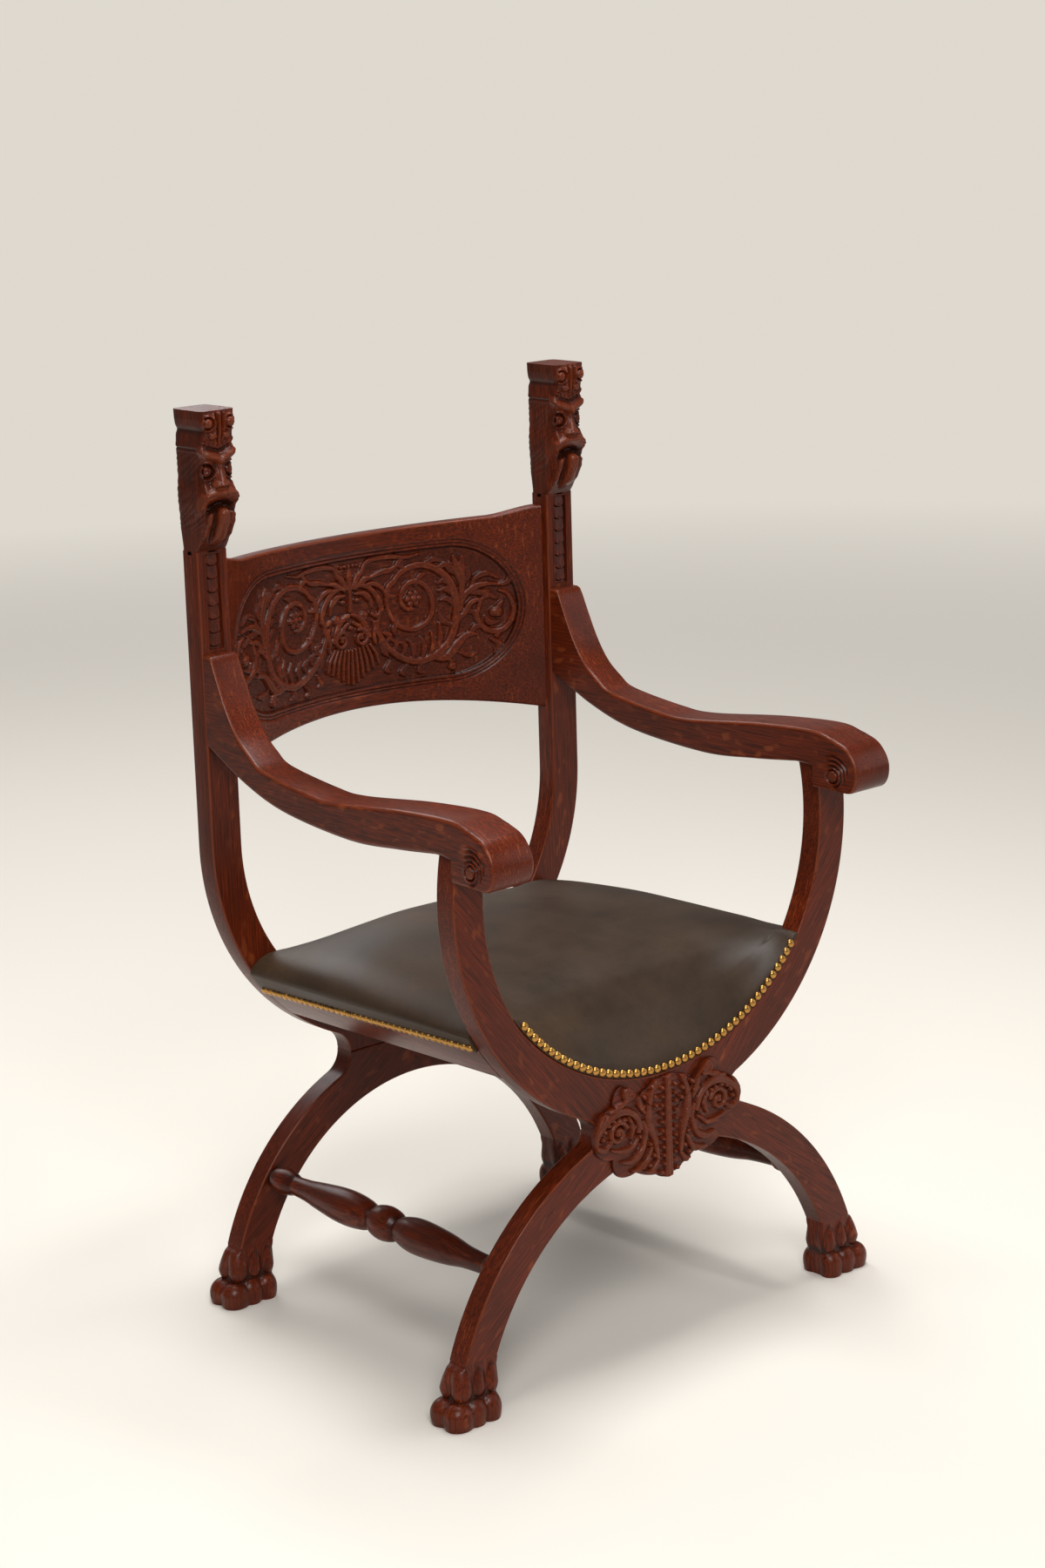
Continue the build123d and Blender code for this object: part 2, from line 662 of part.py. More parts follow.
with BuildPart() as whole_arm:
    with BuildSketch(Plane.YZ.offset(arm_inner_x)):
        with BuildLine():
            top = Spline(
                (rear_y - arm_tip_thickness, arm_tip_z - arm_tip_round),
                *[(rear_y - ahead, arm_tip_z - below) for ahead, below in arm_upsweep],
                *[(rear_y - ahead, arm_low_z + above) for ahead, above in arm_top_run],
                (front_back_y + arm_top_rise[0], arm_crest_z - arm_top_rise[1]),
                (front_y, arm_crest_z),
                tangents=((-0.5, -1), (-1, 0)),
            )
            nose = Spline(
                top @ 1,
                *[(nose_y + behind, arm_crest_z - below) for behind, below in scroll_shoulder],
                (nose_y, arm_seat_z - scroll_nose_drop),
                (nose_y + scroll_heel, scroll_bottom_z),
                tangents=((-1, 0), (1, -0.25)),
            )
            seat = Polyline(
                nose @ 1,
                (front_y, scroll_bottom_z),
                (front_y, arm_seat_z),
                (front_back_y, arm_seat_z),
            )
            belly = Spline(
                seat @ 1,
                *[(front_back_y + behind, arm_belly_z + above) for behind, above in arm_belly_front],
                *[(rear_y - ahead, arm_belly_z + above) for ahead, above in arm_belly_rear],
                (rear_y, arm_heel_z),
                tangents=((1, -0.18), (1, 0.55)),
            )
            Polyline(
                belly @ 1, (rear_y, arm_tip_z), (rear_y - arm_tip_thickness / 2, arm_tip_z), top @ 0
            )
        make_face()
    extrude(amount=arm_scroll_width)
    # the plan: straight inside, widening forward on the outside
    with BuildSketch(Plane.XY.offset(scroll_bottom_z)):
        with BuildLine():
            Polyline(
                (arm_inner_x, nose_y),
                (arm_inner_x + arm_scroll_width, nose_y),
                (arm_inner_x + arm_rear_width, rear_y),
                (arm_inner_x, rear_y),
                (arm_inner_x, nose_y),
            )
        make_face()
    extrude(amount=arm_tip_z - scroll_bottom_z, mode=Mode.INTERSECT)
    volute(arm_outer)
    volute(Plane(origin=(arm_inner_x, rear_y, 0), x_dir=(0, -1, 0), z_dir=(-1, 0, 0)))

with BuildPart() as arm_right:
    add(whole_arm.part)
    split(bisect_by=Plane.XY.offset(arm_tip_seam_z), keep=Keep.BOTTOM)
    bore(dowel_radius, (post_mid_x, front_mid_y, arm_seat_z), (0, 0, 1), dowel_half)
    for z in arm_dowel_zs:
        bore(dowel_radius, (stile_mid_x, rear_y, z), (0, -1, 0), dowel_half)

with BuildPart() as arm_tip_right:
    add(whole_arm.part)
    split(bisect_by=Plane.XY.offset(arm_tip_seam_z), keep=Keep.TOP)

# ------------------------------------------------------------ back board
board_outer_radius = board_radius + board_thickness


def curved_sheet(inner, outer, low, high):
    """A sheet bent round the back board's upright axis, between two radii."""
    with BuildPart() as sheet:
        with BuildSketch(Plane.XY.offset(low)):
            with Locations((0, board_centre_y)):
                Circle(outer)
                Circle(inner, mode=Mode.SUBTRACT)
            with Locations((0, board_centre_y)):
                Rectangle(
                    2 * rear_bowl_inner, outer, align=(Align.CENTER, Align.MIN), mode=Mode.INTERSECT
                )
        extrude(amount=high - low)
    return sheet


def slot_band(half_length, half_height):
    """A level slot shape through the board, as a solid."""
    with BuildPart() as band:
        with BuildSketch(Plane.XZ.offset(-board_centre_y - board_outer_radius)):
            with Locations((0, field_z)):
                SlotOverall(2 * half_length, 2 * half_height)
        extrude(amount=board_outer_radius)
    return band


def spiral(x, z, radii):
    """Half turns about a place, from its foot round to the right and inwards, as a list of
    centre, radius and starting angle."""
    turns = []
    for index, radius in enumerate(radii):
        inward = radius - radii[min(index + 1, len(radii) - 1)]
        if index % 2 == 0:
            turns.append(((x, z), radius, -90))
            z += inward
        else:
            turns.append(((x, z), radius, 90))
            z -= inward
    return turns


def through_board(shape, front, back):
    """The part of a solid that lies between two depths behind the board's face."""
    with BuildPart(mode=Mode.PRIVATE) as slab:
        add(
            curved_sheet(
                board_radius + front, board_radius + back, board_bottom_end_z, board_ear_z
            ).part
        )
        add(shape.part, mode=Mode.INTERSECT)
    return slab.part


with BuildPart() as field_rim:
    line_inset = field_line + field_line_width
    add(slot_band(field_half_length + line_inset, field_half_height + line_inset).part)
    add(
        slot_band(field_half_length + field_line, field_half_height + field_line).part,
        mode=Mode.SUBTRACT,
    )

with BuildPart() as carving:
    with BuildSketch(Plane.XZ.offset(-board_centre_y - board_outer_radius)):
        with BuildLine():
            for centre, radius, start in spiral(scroll_x, field_z + scroll_z, scroll_radii):
                CenterArc(centre, radius, start, 180)
        trace(line_width=scroll_band)
        with BuildLine():
            for centre, radius, start in spiral(
                outer_curl_x, field_z + outer_curl_z, outer_curl_radii
            ):
                CenterArc(centre, radius, start, 180)
        trace(line_width=curl_band)
        for points in (stem_points, leaf_points):
            with BuildLine():
                Spline([(x, field_z + z) for x, z in points])
            trace(line_width=scroll_band)
        with Locations(
            (scroll_x, field_z + scroll_z + curl_eye_radius), (outer_curl_x, field_z + outer_curl_z)
        ):
            Circle(curl_eye_radius)
        mirror(about=Plane.YZ)
        with Locations((0, field_z + mask_z)):
            Ellipse(mask_half_width, mask_half_height)
        for tilt in (-crest_spread, 0, crest_spread):
            root = Location((0, field_z + mask_z), (0, 0, tilt))
            with Locations(root * Location((0, mask_half_height + crest_height / 4))):
                Ellipse(crest_half_width, crest_height / 2)
            with Locations(root * Location((0, -mask_half_height - beard_drop / 4))):
                Ellipse(crest_half_width, beard_drop / 2)
    extrude(amount=board_outer_radius)

with BuildPart() as back_panel:
    add(curved_sheet(board_radius, board_outer_radius, board_bottom_end_z, board_ear_z).part)
    with BuildSketch(Plane.XZ.offset(-board_centre_y - board_outer_radius)):
        with BuildLine():
            edge_x = rear_bowl_inner
            bottom = ThreePointArc(
                (-edge_x, board_bottom_end_z), (0, board_bottom_z), (edge_x, board_bottom_end_z)
            )
            right_ear = Spline(
                (edge_x - ear_width, board_ear_z),
                (edge_x - ear_width - ear_sweep, board_top_z + ear_foot_rise),
                (edge_x - ear_width - ear_run, board_top_z + ear_run_rise),
                tangents=((-1, -0.15), (-1, -0.05)),
            )
            left_ear = Spline(
                (-edge_x + ear_width + ear_run, board_top_z + ear_run_rise),
                (-edge_x + ear_width + ear_sweep, board_top_z + ear_foot_rise),
                (-edge_x + ear_width, board_ear_z),
                tangents=((-1, 0.05), (-1, 0.15)),
            )
            ThreePointArc(right_ear @ 1, (0, board_top_z), left_ear @ 0)
            Polyline(bottom @ 1, (edge_x, board_ear_z), right_ear @ 0)
            Polyline(left_ear @ 1, (-edge_x, board_ear_z), bottom @ 0)
        make_face()
    extrude(amount=board_outer_radius, mode=Mode.INTERSECT)
    # the sunk field, the incised line round it, and the carving that stands on its ground
    field = slot_band(field_half_length, field_half_height)
    add(through_board(field, -1, field_depth), mode=Mode.SUBTRACT)
    add(through_board(field_rim, -1, field_line_depth), mode=Mode.SUBTRACT)
    add(through_board(carving, scroll_top, field_depth + 1))
    for side in (-1, 1):
        for z in board_dowel_z:
            bore(
                board_dowel_radius, (side * rear_bowl_inner, board_dowel_y, z), (-side, 0, 0),
                board_dowel_in_board,
            )


# ------------------------------------------------------------ seat frame
def ring_strip(y, bowl_z, inner, outer, top_angle, bottom_angle):
    """A strip of a bowl's ring on the right side, in degrees below its springing line."""
    top = radians(top_angle)
    bottom = radians(bottom_angle)
    middle = (top + bottom) / 2
    with BuildSketch(Plane.XZ.offset(-y)) as strip:
        with BuildLine():
            face = ThreePointArc(
                (outer * cos(top), bowl_z - outer * sin(top)),
                (outer * cos(middle), bowl_z - outer * sin(middle)),
                (outer * cos(bottom), bowl_z - outer * sin(bottom)),
            )
            back = ThreePointArc(
                (inner * cos(bottom), bowl_z - inner * sin(bottom)),
                (inner * cos(middle), bowl_z - inner * sin(middle)),
                (inner * cos(top), bowl_z - inner * sin(top)),
            )
            Line(face @ 1, back @ 0)
            Line(back @ 1, face @ 0)
        make_face()
    return strip.sketch.faces()[0]


def level_angle(bowl_z, radius, z):
    """Degrees below the springing line at which a bowl's circle reaches a height."""
    return degrees(asin((bowl_z - z) / radius))


front_rail_inner = front_bowl_outer - rail_thickness
rear_rail_inner = rear_bowl_outer - rail_thickness
rail_fall = (front_rail_top_z - rear_rail_top_z) / frame_gap

# everything flat in the seat lies on the rails' tops, which fall to the rear
deck = Plane(
    origin=(0, front_back_y, front_rail_top_z), x_dir=(1, 0, 0), z_dir=(0, rail_fall, 1)
)

with BuildPart() as side_rail_right:
    loft(
        sections=[
            ring_strip(
                front_back_y, front_bowl_z, front_rail_inner, front_bowl_outer,
                level_angle(front_bowl_z, front_bowl_outer, front_rail_top_z) - rail_spare,
                front_rail_bottom_angle,
            ),
            ring_strip(
                rear_y, rear_bowl_z, rear_rail_inner, rear_bowl_outer,
                level_angle(rear_bowl_z, rear_bowl_outer, rear_rail_top_z) - rail_spare,
                rear_rail_bottom_angle,
            ),
        ]
    )
    split(bisect_by=deck, keep=Keep.BOTTOM)

# the front board fills the foot of the bowl and takes the front row of nails
board_edge_z = foot_edge_z - leather_thickness
board_foot_radius = foot_radius - dowel_clear
board_edge_x = sqrt(board_foot_radius**2 - (foot_centre_z - board_edge_z) ** 2)

with BuildPart() as front_seat_board:
    with BuildSketch(Plane.XZ.offset(-front_back_y)):
        with BuildLine():
            low = ThreePointArc(
                (-board_edge_x, board_edge_z),
                (0, foot_bottom_z + dowel_clear),
                (board_edge_x, board_edge_z),
            )
            ThreePointArc(low @ 1, (0, foot_bottom_z + board_rise), low @ 0)
        make_face()
    extrude(amount=stock - board_set_back)


def bearer(back_y, bowl_z, rail_inner):
    """A straight board across the seat, coped to the insides of the two rails."""
    fall = rail_fall * (back_y - front_back_y)
    top_z = front_rail_top_z - fall - web_thickness / 2
    with BuildPart() as board:
        with BuildSketch(Plane.XZ.offset(-back_y)):
            with Locations((0, bowl_z)):
                Circle(rail_inner + bearer_cope)
            with Locations((0, top_z)):
                Rectangle(
                    2 * rail_inner, bearer_height, align=(Align.CENTER, Align.MAX),
                    mode=Mode.INTERSECT,
                )
        extrude(amount=bearer_thickness)
        add(side_rail_right.part, mode=Mode.SUBTRACT)
        add(mirror(side_rail_right.part, about=Plane.YZ, mode=Mode.PRIVATE), mode=Mode.SUBTRACT)
    return board


front_bearer_back_y = front_back_y + bearer_set_back + bearer_thickness
rear_bearer_back_y = rear_y - leather_thickness - leather_clear
front_seat_bearer = bearer(front_bearer_back_y, front_bowl_z, front_rail_inner)
rear_seat_bearer = bearer(rear_bearer_back_y, rear_bowl_z, rear_rail_inner)

# -------------------------------------------------------------- upholstery
front_rail_top_x = sqrt(front_rail_inner**2 - (front_bowl_z - front_rail_top_z) ** 2)
rear_rail_top_x = sqrt(rear_rail_inner**2 - (rear_bowl_z - rear_rail_top_z) ** 2)
web_start = front_bearer_back_y - front_back_y - web_turn
web_end = rear_bearer_back_y - front_back_y - bearer_thickness + web_turn


def deck_half(distance):
    """Half the clear width between the rails' tops, at a distance behind the front frame."""
    share = distance / frame_gap
    return front_rail_top_x * (1 - share) + rear_rail_top_x * share


with BuildPart() as seat_webbing:
    middle = (web_start + web_end) / 2
    for index in range(web_count_across):
        place = middle + (index - (web_count_across - 1) / 2) * web_pitch
        with BuildSketch(deck):
            with Locations((0, place)):
                Rectangle(2 * (deck_half(place) + web_turn), web_width)
        extrude(amount=web_thickness)
    for index in range(web_count_along):
        side = (index - (web_count_along - 1) / 2) * web_pitch
        with BuildSketch(deck.offset(web_thickness + web_clear)):
            with Locations((side, middle)):
                Rectangle(web_width, web_end - web_start)
        extrude(amount=web_thickness)

with BuildPart() as seat_canvas:
    with BuildSketch(deck.offset(2 * (web_thickness + web_clear))):
        with BuildLine():
            Polyline(
                (-deck_half(web_start) - web_turn, web_start),
                (deck_half(web_start) + web_turn, web_start),
                (deck_half(web_end) + web_turn, web_end),
                (-deck_half(web_end) - web_turn, web_end),
                (-deck_half(web_start) - web_turn, web_start),
            )
        make_face()
    extrude(amount=cloth_thickness)

# the black cloth under the seat, tacked to the undersides of the bearers
dust_front_half = front_rail_inner * cos(radians(front_rail_bottom_angle)) - dust_clear
dust_rear_half = rear_rail_inner * cos(radians(rear_rail_bottom_angle)) - dust_clear
dust_front_y = front_bearer_back_y - front_back_y - bearer_thickness + dust_inset
dust_rear_y = rear_bearer_back_y - front_back_y - dust_inset

with BuildPart() as dust_cover:
    with BuildSketch(deck.offset(-bearer_height - web_thickness - leather_clear)):
        with BuildLine():
            Polyline(
                (-dust_front_half, dust_front_y),
                (dust_front_half, dust_front_y),
                (dust_rear_half, dust_rear_y),
                (-dust_rear_half, dust_rear_y),
                close=True,
            )
        make_face()
    extrude(amount=-cloth_thickness)

pad_lift = 2 * (web_thickness + web_clear) + cloth_thickness + leather_clear
front_flap_radius = front_bowl_outer + leather_thickness
rear_flap_radius = rear_bowl_outer + leather_thickness
hem_angle = degrees(nail_hem / front_bowl_outer)


def pad_section(share, middle_z, crest_z, sag):
    """The seat's section across: crested near both sides, flat under or hanging between the rails."""
    y = front_back_y + leather_clear + share * (frame_gap - 2 * leather_clear)
    base_z = front_rail_top_z - rail_fall * (y - front_back_y) + pad_lift
    radius = front_flap_radius + share * (rear_flap_radius - front_flap_radius)
    centre_z = front_bowl_z + share * (rear_bowl_z - front_bowl_z)
    edge_x = sqrt(radius**2 - (centre_z - base_z) ** 2)
    with BuildSketch(Plane.XZ.offset(-y)) as section:
        with BuildLine():
            upper = Spline(
                (edge_x, base_z),
                (crest_share * edge_x, crest_z),
                (crest_share * edge_x / 2, (crest_z + 2 * middle_z) / 3),
                (0, middle_z),
                (-crest_share * edge_x / 2, (crest_z + 2 * middle_z) / 3),
                (-crest_share * edge_x, crest_z),
                (-edge_x, base_z),
                tangents=((0, 1), (0, -1)),
                tangent_scalars=(0.1, 0.1),
            )
            inner_x = crest_share * edge_x
            Spline(
                upper @ 1,
                (-inner_x, base_z),
                (-inner_x / 2, base_z - sag * sag_share),
                (0, base_z - sag),
                (inner_x / 2, base_z - sag * sag_share),
                (inner_x, base_z),
                upper @ 0,
            )
        make_face()
    return section.sketch.faces()[0]


def apron_section(y, top_z):
    """The leather in the front bowl, from its foot up to a level."""
    edge_x = sqrt((foot_radius - leather_clear) ** 2 - (foot_centre_z - foot_edge_z) ** 2)
    with BuildSketch(Plane.XZ.offset(-y)) as section:
        with BuildLine():
            low = ThreePointArc(
                (-edge_x, foot_edge_z),
                (0, foot_bottom_z + leather_clear),
                (edge_x, foot_edge_z),
            )
            ThreePointArc(low @ 1, (0, top_z), low @ 0)
        make_face()
    return section.sketch.faces()[0]


def side_flap():
    """The leather's edge, turned down over the rail to just below the nails."""
    return loft(
        sections=[
            ring_strip(
                y, bowl_z, outer + leather_clear, outer + leather_thickness,
                level_angle(bowl_z, outer, top_z + pad_lift + 1), nail_angle + hem_angle,
            )
            for y, bowl_z, outer, top_z, nail_angle in (
                (
                    front_back_y + leather_clear, front_bowl_z, front_bowl_outer,
                    front_rail_top_z, front_nail_angle,
                ),
                (
                    rear_y - leather_clear, rear_bowl_z, rear_bowl_outer,
                    rear_rail_top_z, rear_nail_angle,
                ),
            )
        ],
        mode=Mode.PRIVATE,
    )


with BuildPart() as seat_leather:
    for stations in (seat_stations[: seat_break + 1], seat_stations[seat_break:]):
        loft(sections=[pad_section(*station) for station in stations])
    loft(
        sections=[
            apron_section(front_y, foot_bottom_z + 2 * nail_hem + nail_margin),
            apron_section(front_back_y + seat_lap, seat_stations[0][1] + seat_lap),
        ]
    )
    with BuildSketch(Plane.XZ.offset(-front_back_y - seat_lap)):
        with BuildLine():
            base = ThreePointArc(
                (-board_edge_x, board_edge_z + leather_clear),
                (0, foot_bottom_z - leather_thickness),
                (board_edge_x, board_edge_z + leather_clear),
            )
            ThreePointArc(
                base @ 1, (0, foot_bottom_z + board_rise + leather_clear), base @ 0
            )
        make_face()
    extrude(amount=stock + seat_lap - board_set_back + leather_clear, mode=Mode.SUBTRACT)
    flap = side_flap()
    add(flap)
    add(mirror(flap, about=Plane.YZ, mode=Mode.PRIVATE))
    with BuildSketch(Plane.XZ.offset(-rear_y + leather_clear)):
        with Locations((0, rear_bowl_z)):
            Circle(rear_rail_inner - leather_clear)
        with Locations((0, rear_rail_top_z + pad_lift + rear_flap_lap)):
            Rectangle(
                2 * rear_rail_inner, rear_flap_height, align=(Align.CENTER, Align.MAX),
                mode=Mode.INTERSECT,
            )
    extrude(amount=leather_thickness - leather_clear)

# ------------------------------------------------------------- brass nails
nail_path_radius = foot_radius - nail_hem
nail_path_half = foot_half_width - nail_hem
nail_sweep = asin(nail_path_half / nail_path_radius)
front_nail_count = int(2 * nail_sweep * nail_path_radius / nail_pitch) + 1

with BuildPart() as front_nails:
    with BuildSketch(Plane.XZ.offset(-front_y)):
        for index in range(front_nail_count):
            angle = nail_sweep * (2 * index / (front_nail_count - 1) - 1)
            with Locations(
                (nail_path_radius * sin(angle), foot_centre_z - nail_path_radius * cos(angle))
            ):
                RegularPolygon(nail_head / 2, 8)
    extrude(amount=nail_proud, taper=nail_taper)

front_nail_a = radians(front_nail_angle)
rear_nail_a = radians(rear_nail_angle)
front_row_radius = front_flap_radius + leather_clear
rear_row_radius = rear_flap_radius + leather_clear
nail_row_start = Vector(
    front_row_radius * cos(front_nail_a), front_back_y,
    front_bowl_z - front_row_radius * sin(front_nail_a),
)
nail_row_end = Vector(
    rear_row_radius * cos(rear_nail_a), rear_y, rear_bowl_z - rear_row_radius * sin(rear_nail_a)
)
nail_row_way = (nail_row_end - nail_row_start).normalized()
nail_row_pitch = (nail_row_end - nail_row_start).length / (side_nail_count + 0.5)
nail_face_a = (front_nail_a + rear_nail_a) / 2
nail_out = Vector(cos(nail_face_a), 0, -sin(nail_face_a))
nail_out = (nail_out - nail_row_way * nail_out.dot(nail_row_way)).normalized()

with BuildPart() as side_nails_right:
    with BuildSketch(
        Plane(origin=(nail_row_start + nail_row_end) / 2, x_dir=nail_row_way, z_dir=nail_out)
    ):
        with GridLocations(nail_row_pitch, nail_row_pitch, side_nail_count, 1):
            RegularPolygon(nail_head / 2, 8)
    extrude(amount=nail_proud, taper=nail_taper)

# ------------------------------------------------------------------ dowels


def peg(radius, start, direction, length):
    """One round peg from a point along a direction."""
    with BuildSketch(Plane(origin=start, z_dir=direction)) as end:
        Circle(radius)
    extrude(end.sketch, amount=length)


with BuildPart() as front_hub_dowels:
    for z in (front_upper_dowel_z, front_lower_dowel_z):
        peg(dowel_radius, (-dowel_half, front_mid_y, z), (1, 0, 0), 2 * dowel_half)
    for side in (-1, 1):
        peg(
            dowel_radius, (side * hub_dowel_x, front_mid_y, front_joint_z - hub_dowel_half),
            (0, 0, 1), 2 * hub_dowel_half,
        )

with BuildPart() as rear_hub_dowels:
    for z in (rear_upper_dowel_z, rear_lower_dowel_z):
        peg(dowel_radius, (-dowel_half, rear_mid_y, z), (1, 0, 0), 2 * dowel_half)
    for side in (-1, 1):
        peg(
            dowel_radius, (side * hub_dowel_x, rear_mid_y, rear_joint_z - hub_dowel_half),
            (0, 0, 1), 2 * hub_dowel_half,
        )

with BuildPart() as paw_dowels:
    for side in (-1, 1):
        for x, y in (
            ((front_leg_inner_x + front_leg_outer_x) / 2, front_mid_y),
            ((rear_leg_inner_x + rear_leg_outer_x) / 2, rear_mid_y),
        ):
            peg(dowel_radius, (side * x, y, paw_height - dowel_half), (0, 0, 1), 2 * dowel_half)

with BuildPart() as arm_dowels:
    for side in (-1, 1):
        peg(
            dowel_radius, (side * post_mid_x, front_mid_y, arm_seat_z - dowel_half),
            (0, 0, 1), 2 * dowel_half,
        )
        for z in arm_dowel_zs:
            peg(
                dowel_radius, (side * stile_mid_x, rear_y - dowel_half, z), (0, 1, 0), 2 * dowel_half
            )

with BuildPart() as panel_dowels:
    for side in (-1, 1):
        for z in board_dowel_z:
            peg(
                board_dowel_radius,
                (side * (rear_bowl_inner - board_dowel_in_board), board_dowel_y, z), (side, 0, 0),
                board_dowel_in_board + board_dowel_in_stile,
            )

# --------------------------------------------------------------- cartouche
with BuildPart() as cartouche:
    with BuildSketch(Plane.XZ.offset(-front_y)):
        with Locations((0, cartouche_z)):
            Ellipse(cartouche_half_width, cartouche_half_height)
        for side in (-1, 1):
            with Locations((side * cartouche_scroll_x, cartouche_scroll_z)):
                Circle(cartouche_scroll_radius)
            with Locations((side * cartouche_rosette_x, cartouche_rosette_z)):
                Circle(cartouche_rosette_radius)
    extrude(amount=cartouche_base)
    # on its ground: a scroll and a rosette on each side, and three upright leaves
    leaf_half_height = cartouche_half_height - cartouche_edge
    with BuildSketch(Plane.XZ.offset(cartouche_base - front_y)):
        with BuildLine():
            for centre, radius, start in spiral(
                cartouche_scroll_x, cartouche_scroll_z, volute_radii
            ):
                CenterArc(centre, radius, start, 180)
        trace(line_width=volute_band)
        with Locations((cartouche_rosette_x, cartouche_rosette_z)):
            Circle(cartouche_rosette_radius - cartouche_edge)
        with Locations(
            Location((cartouche_side_leaf_x, cartouche_z), (0, 0, -cartouche_side_leaf_lean))
        ):
            Ellipse(cartouche_side_leaf_half_width, cartouche_side_leaf_half_height)
        mirror(about=Plane.YZ)
        with Locations((0, cartouche_z)):
            Ellipse(cartouche_leaf_half_width, leaf_half_height)
    extrude(amount=cartouche_thickness - cartouche_base)

# ------------------------------------------------------------ stretchers
collar_end, waist_front, swell_front, ball_start, ball_end, swell_rear, waist_rear, end_ball_start = (
    share * stretcher_length for share in stretcher_shares
)

with BuildPart() as side_stretcher_right:
    lathe = Plane(
        origin=stretcher_start, x_dir=stretcher_axis, z_dir=stretcher_axis.cross(Vector(1, 0, 0))
    )
    with BuildSketch(lathe):
        with BuildLine():
            begin = Polyline(
                (0, 0), (-tenon_length, 0), (-tenon_length, tenon_radius),
                (shoulder_clear, tenon_radius), (shoulder_clear, stretcher_neck),
            )
            collar = ThreePointArc(
                begin @ 1, (collar_end / 2, stretcher_collar), (collar_end, stretcher_neck)
            )
            front_taper = Spline(
                collar @ 1,
                (waist_front, stretcher_waist),
                (swell_front, stretcher_swell),
                (ball_start, stretcher_ball_neck),
                tangents=((1, 0), (1, -1.2)),
            )
            ball = ThreePointArc(
                front_taper @ 1,
                ((ball_start + ball_end) / 2, stretcher_ball),
                (ball_end, stretcher_ball_neck),
            )
            rear_taper = Spline(
                ball @ 1,
                (swell_rear, stretcher_swell),
                (waist_rear, stretcher_waist),
                (end_ball_start, stretcher_neck),
                tangents=((1, 1.2), (1, 0)),
            )
            end_ball = ThreePointArc(
                rear_taper @ 1,
                ((end_ball_start + stretcher_length) / 2, stretcher_end_ball),
                (stretcher_length - shoulder_clear, stretcher_end_neck),
            )
            Polyline(
                end_ball @ 1,
                (stretcher_length - shoulder_clear, tenon_radius),
                (stretcher_length + tenon_length, tenon_radius),
                (stretcher_length + tenon_length, 0),
                begin @ 0,
            )
        make_face()
    revolve(axis=Axis(tuple(stretcher_start), tuple(stretcher_axis)))

pieces = {
    "front_post_right": front_post_right,
    "front_leg_right": front_leg_right,
    "rear_leg_right": rear_leg_right,
    "rear_stile_right": rear_stile_right,
    "front_paw_right": front_paw_right,
    "rear_paw_right": rear_paw_right,
    "arm_right": arm_right,
    "arm_tip_right": arm_tip_right,
    "side_rail_right": side_rail_right,
    "side_stretcher_right": side_stretcher_right,
    "back_panel": back_panel,
    "side_nails_right": side_nails_right,
    "front_nails": front_nails,
    "front_seat_board": front_seat_board,
    "front_seat_bearer": front_seat_bearer,
    "rear_seat_bearer": rear_seat_bearer,
    "seat_webbing": seat_webbing,
    "seat_canvas": seat_canvas,
    "seat_leather": seat_leather,
    "dust_cover": dust_cover,
    "front_hub_dowels": front_hub_dowels,
    "rear_hub_dowels": rear_hub_dowels,
    "paw_dowels": paw_dowels,
    "arm_dowels": arm_dowels,
    "panel_dowels": panel_dowels,
    "front_cartouche": cartouche,
}

# the left-hand pieces are the right-hand ones mirrored
for name in [name for name in pieces if name.endswith("_right")]:
    with BuildPart() as twin:
        mirror(pieces[name].part, about=Plane.YZ)
    pieces[name.replace("_right", "_left")] = twin

os.makedirs("parts", exist_ok=True)
for name, piece in pieces.items():
    piece.part.label = name
    export_step(piece.part, f"parts/{name}.step")
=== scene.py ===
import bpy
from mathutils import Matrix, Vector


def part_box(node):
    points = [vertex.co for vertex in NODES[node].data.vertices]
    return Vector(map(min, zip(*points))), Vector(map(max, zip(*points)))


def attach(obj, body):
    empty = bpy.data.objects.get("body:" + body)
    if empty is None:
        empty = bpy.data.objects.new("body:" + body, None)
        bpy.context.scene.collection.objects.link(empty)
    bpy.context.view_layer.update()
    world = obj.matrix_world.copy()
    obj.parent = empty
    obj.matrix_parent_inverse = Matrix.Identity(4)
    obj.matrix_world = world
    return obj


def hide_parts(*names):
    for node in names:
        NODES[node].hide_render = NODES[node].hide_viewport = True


bl_info = {
    "name": "Savonarola Armchair",
    "version": (1, 0, 0),
    "blender": (4, 5, 0),
    "location": "View3D > Sidebar > Armchair",
    "description": "Carved, polished and upholstered surfaces of an X-frame armchair",
    "category": "Add Mesh",
}

from math import acos, asin, atan2, cos, pi, radians, sin, sqrt

import bmesh
import bpy
import numpy as np
from mathutils import Matrix, Vector

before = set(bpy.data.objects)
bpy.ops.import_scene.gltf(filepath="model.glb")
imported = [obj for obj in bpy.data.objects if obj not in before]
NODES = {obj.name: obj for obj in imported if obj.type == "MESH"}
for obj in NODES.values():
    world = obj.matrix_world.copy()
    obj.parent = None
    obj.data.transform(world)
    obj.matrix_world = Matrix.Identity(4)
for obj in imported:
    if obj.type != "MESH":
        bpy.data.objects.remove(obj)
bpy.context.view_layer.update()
MM = 0.001


# ------------------------------------------------------------------ settings
def length(label, value, text):
    """A length property, given in millimetres and kept in metres."""
    return bpy.props.FloatProperty(
        name=label, description=text, default=value * MM, unit="LENGTH", precision=4
    )


def colour(label, value, text):
    """A colour property, given as an sRGB hex value and kept as linear light."""
    return bpy.props.FloatVectorProperty(
        name=label, description=text, default=linear(value), size=3, min=0, max=1, subtype="COLOR"
    )


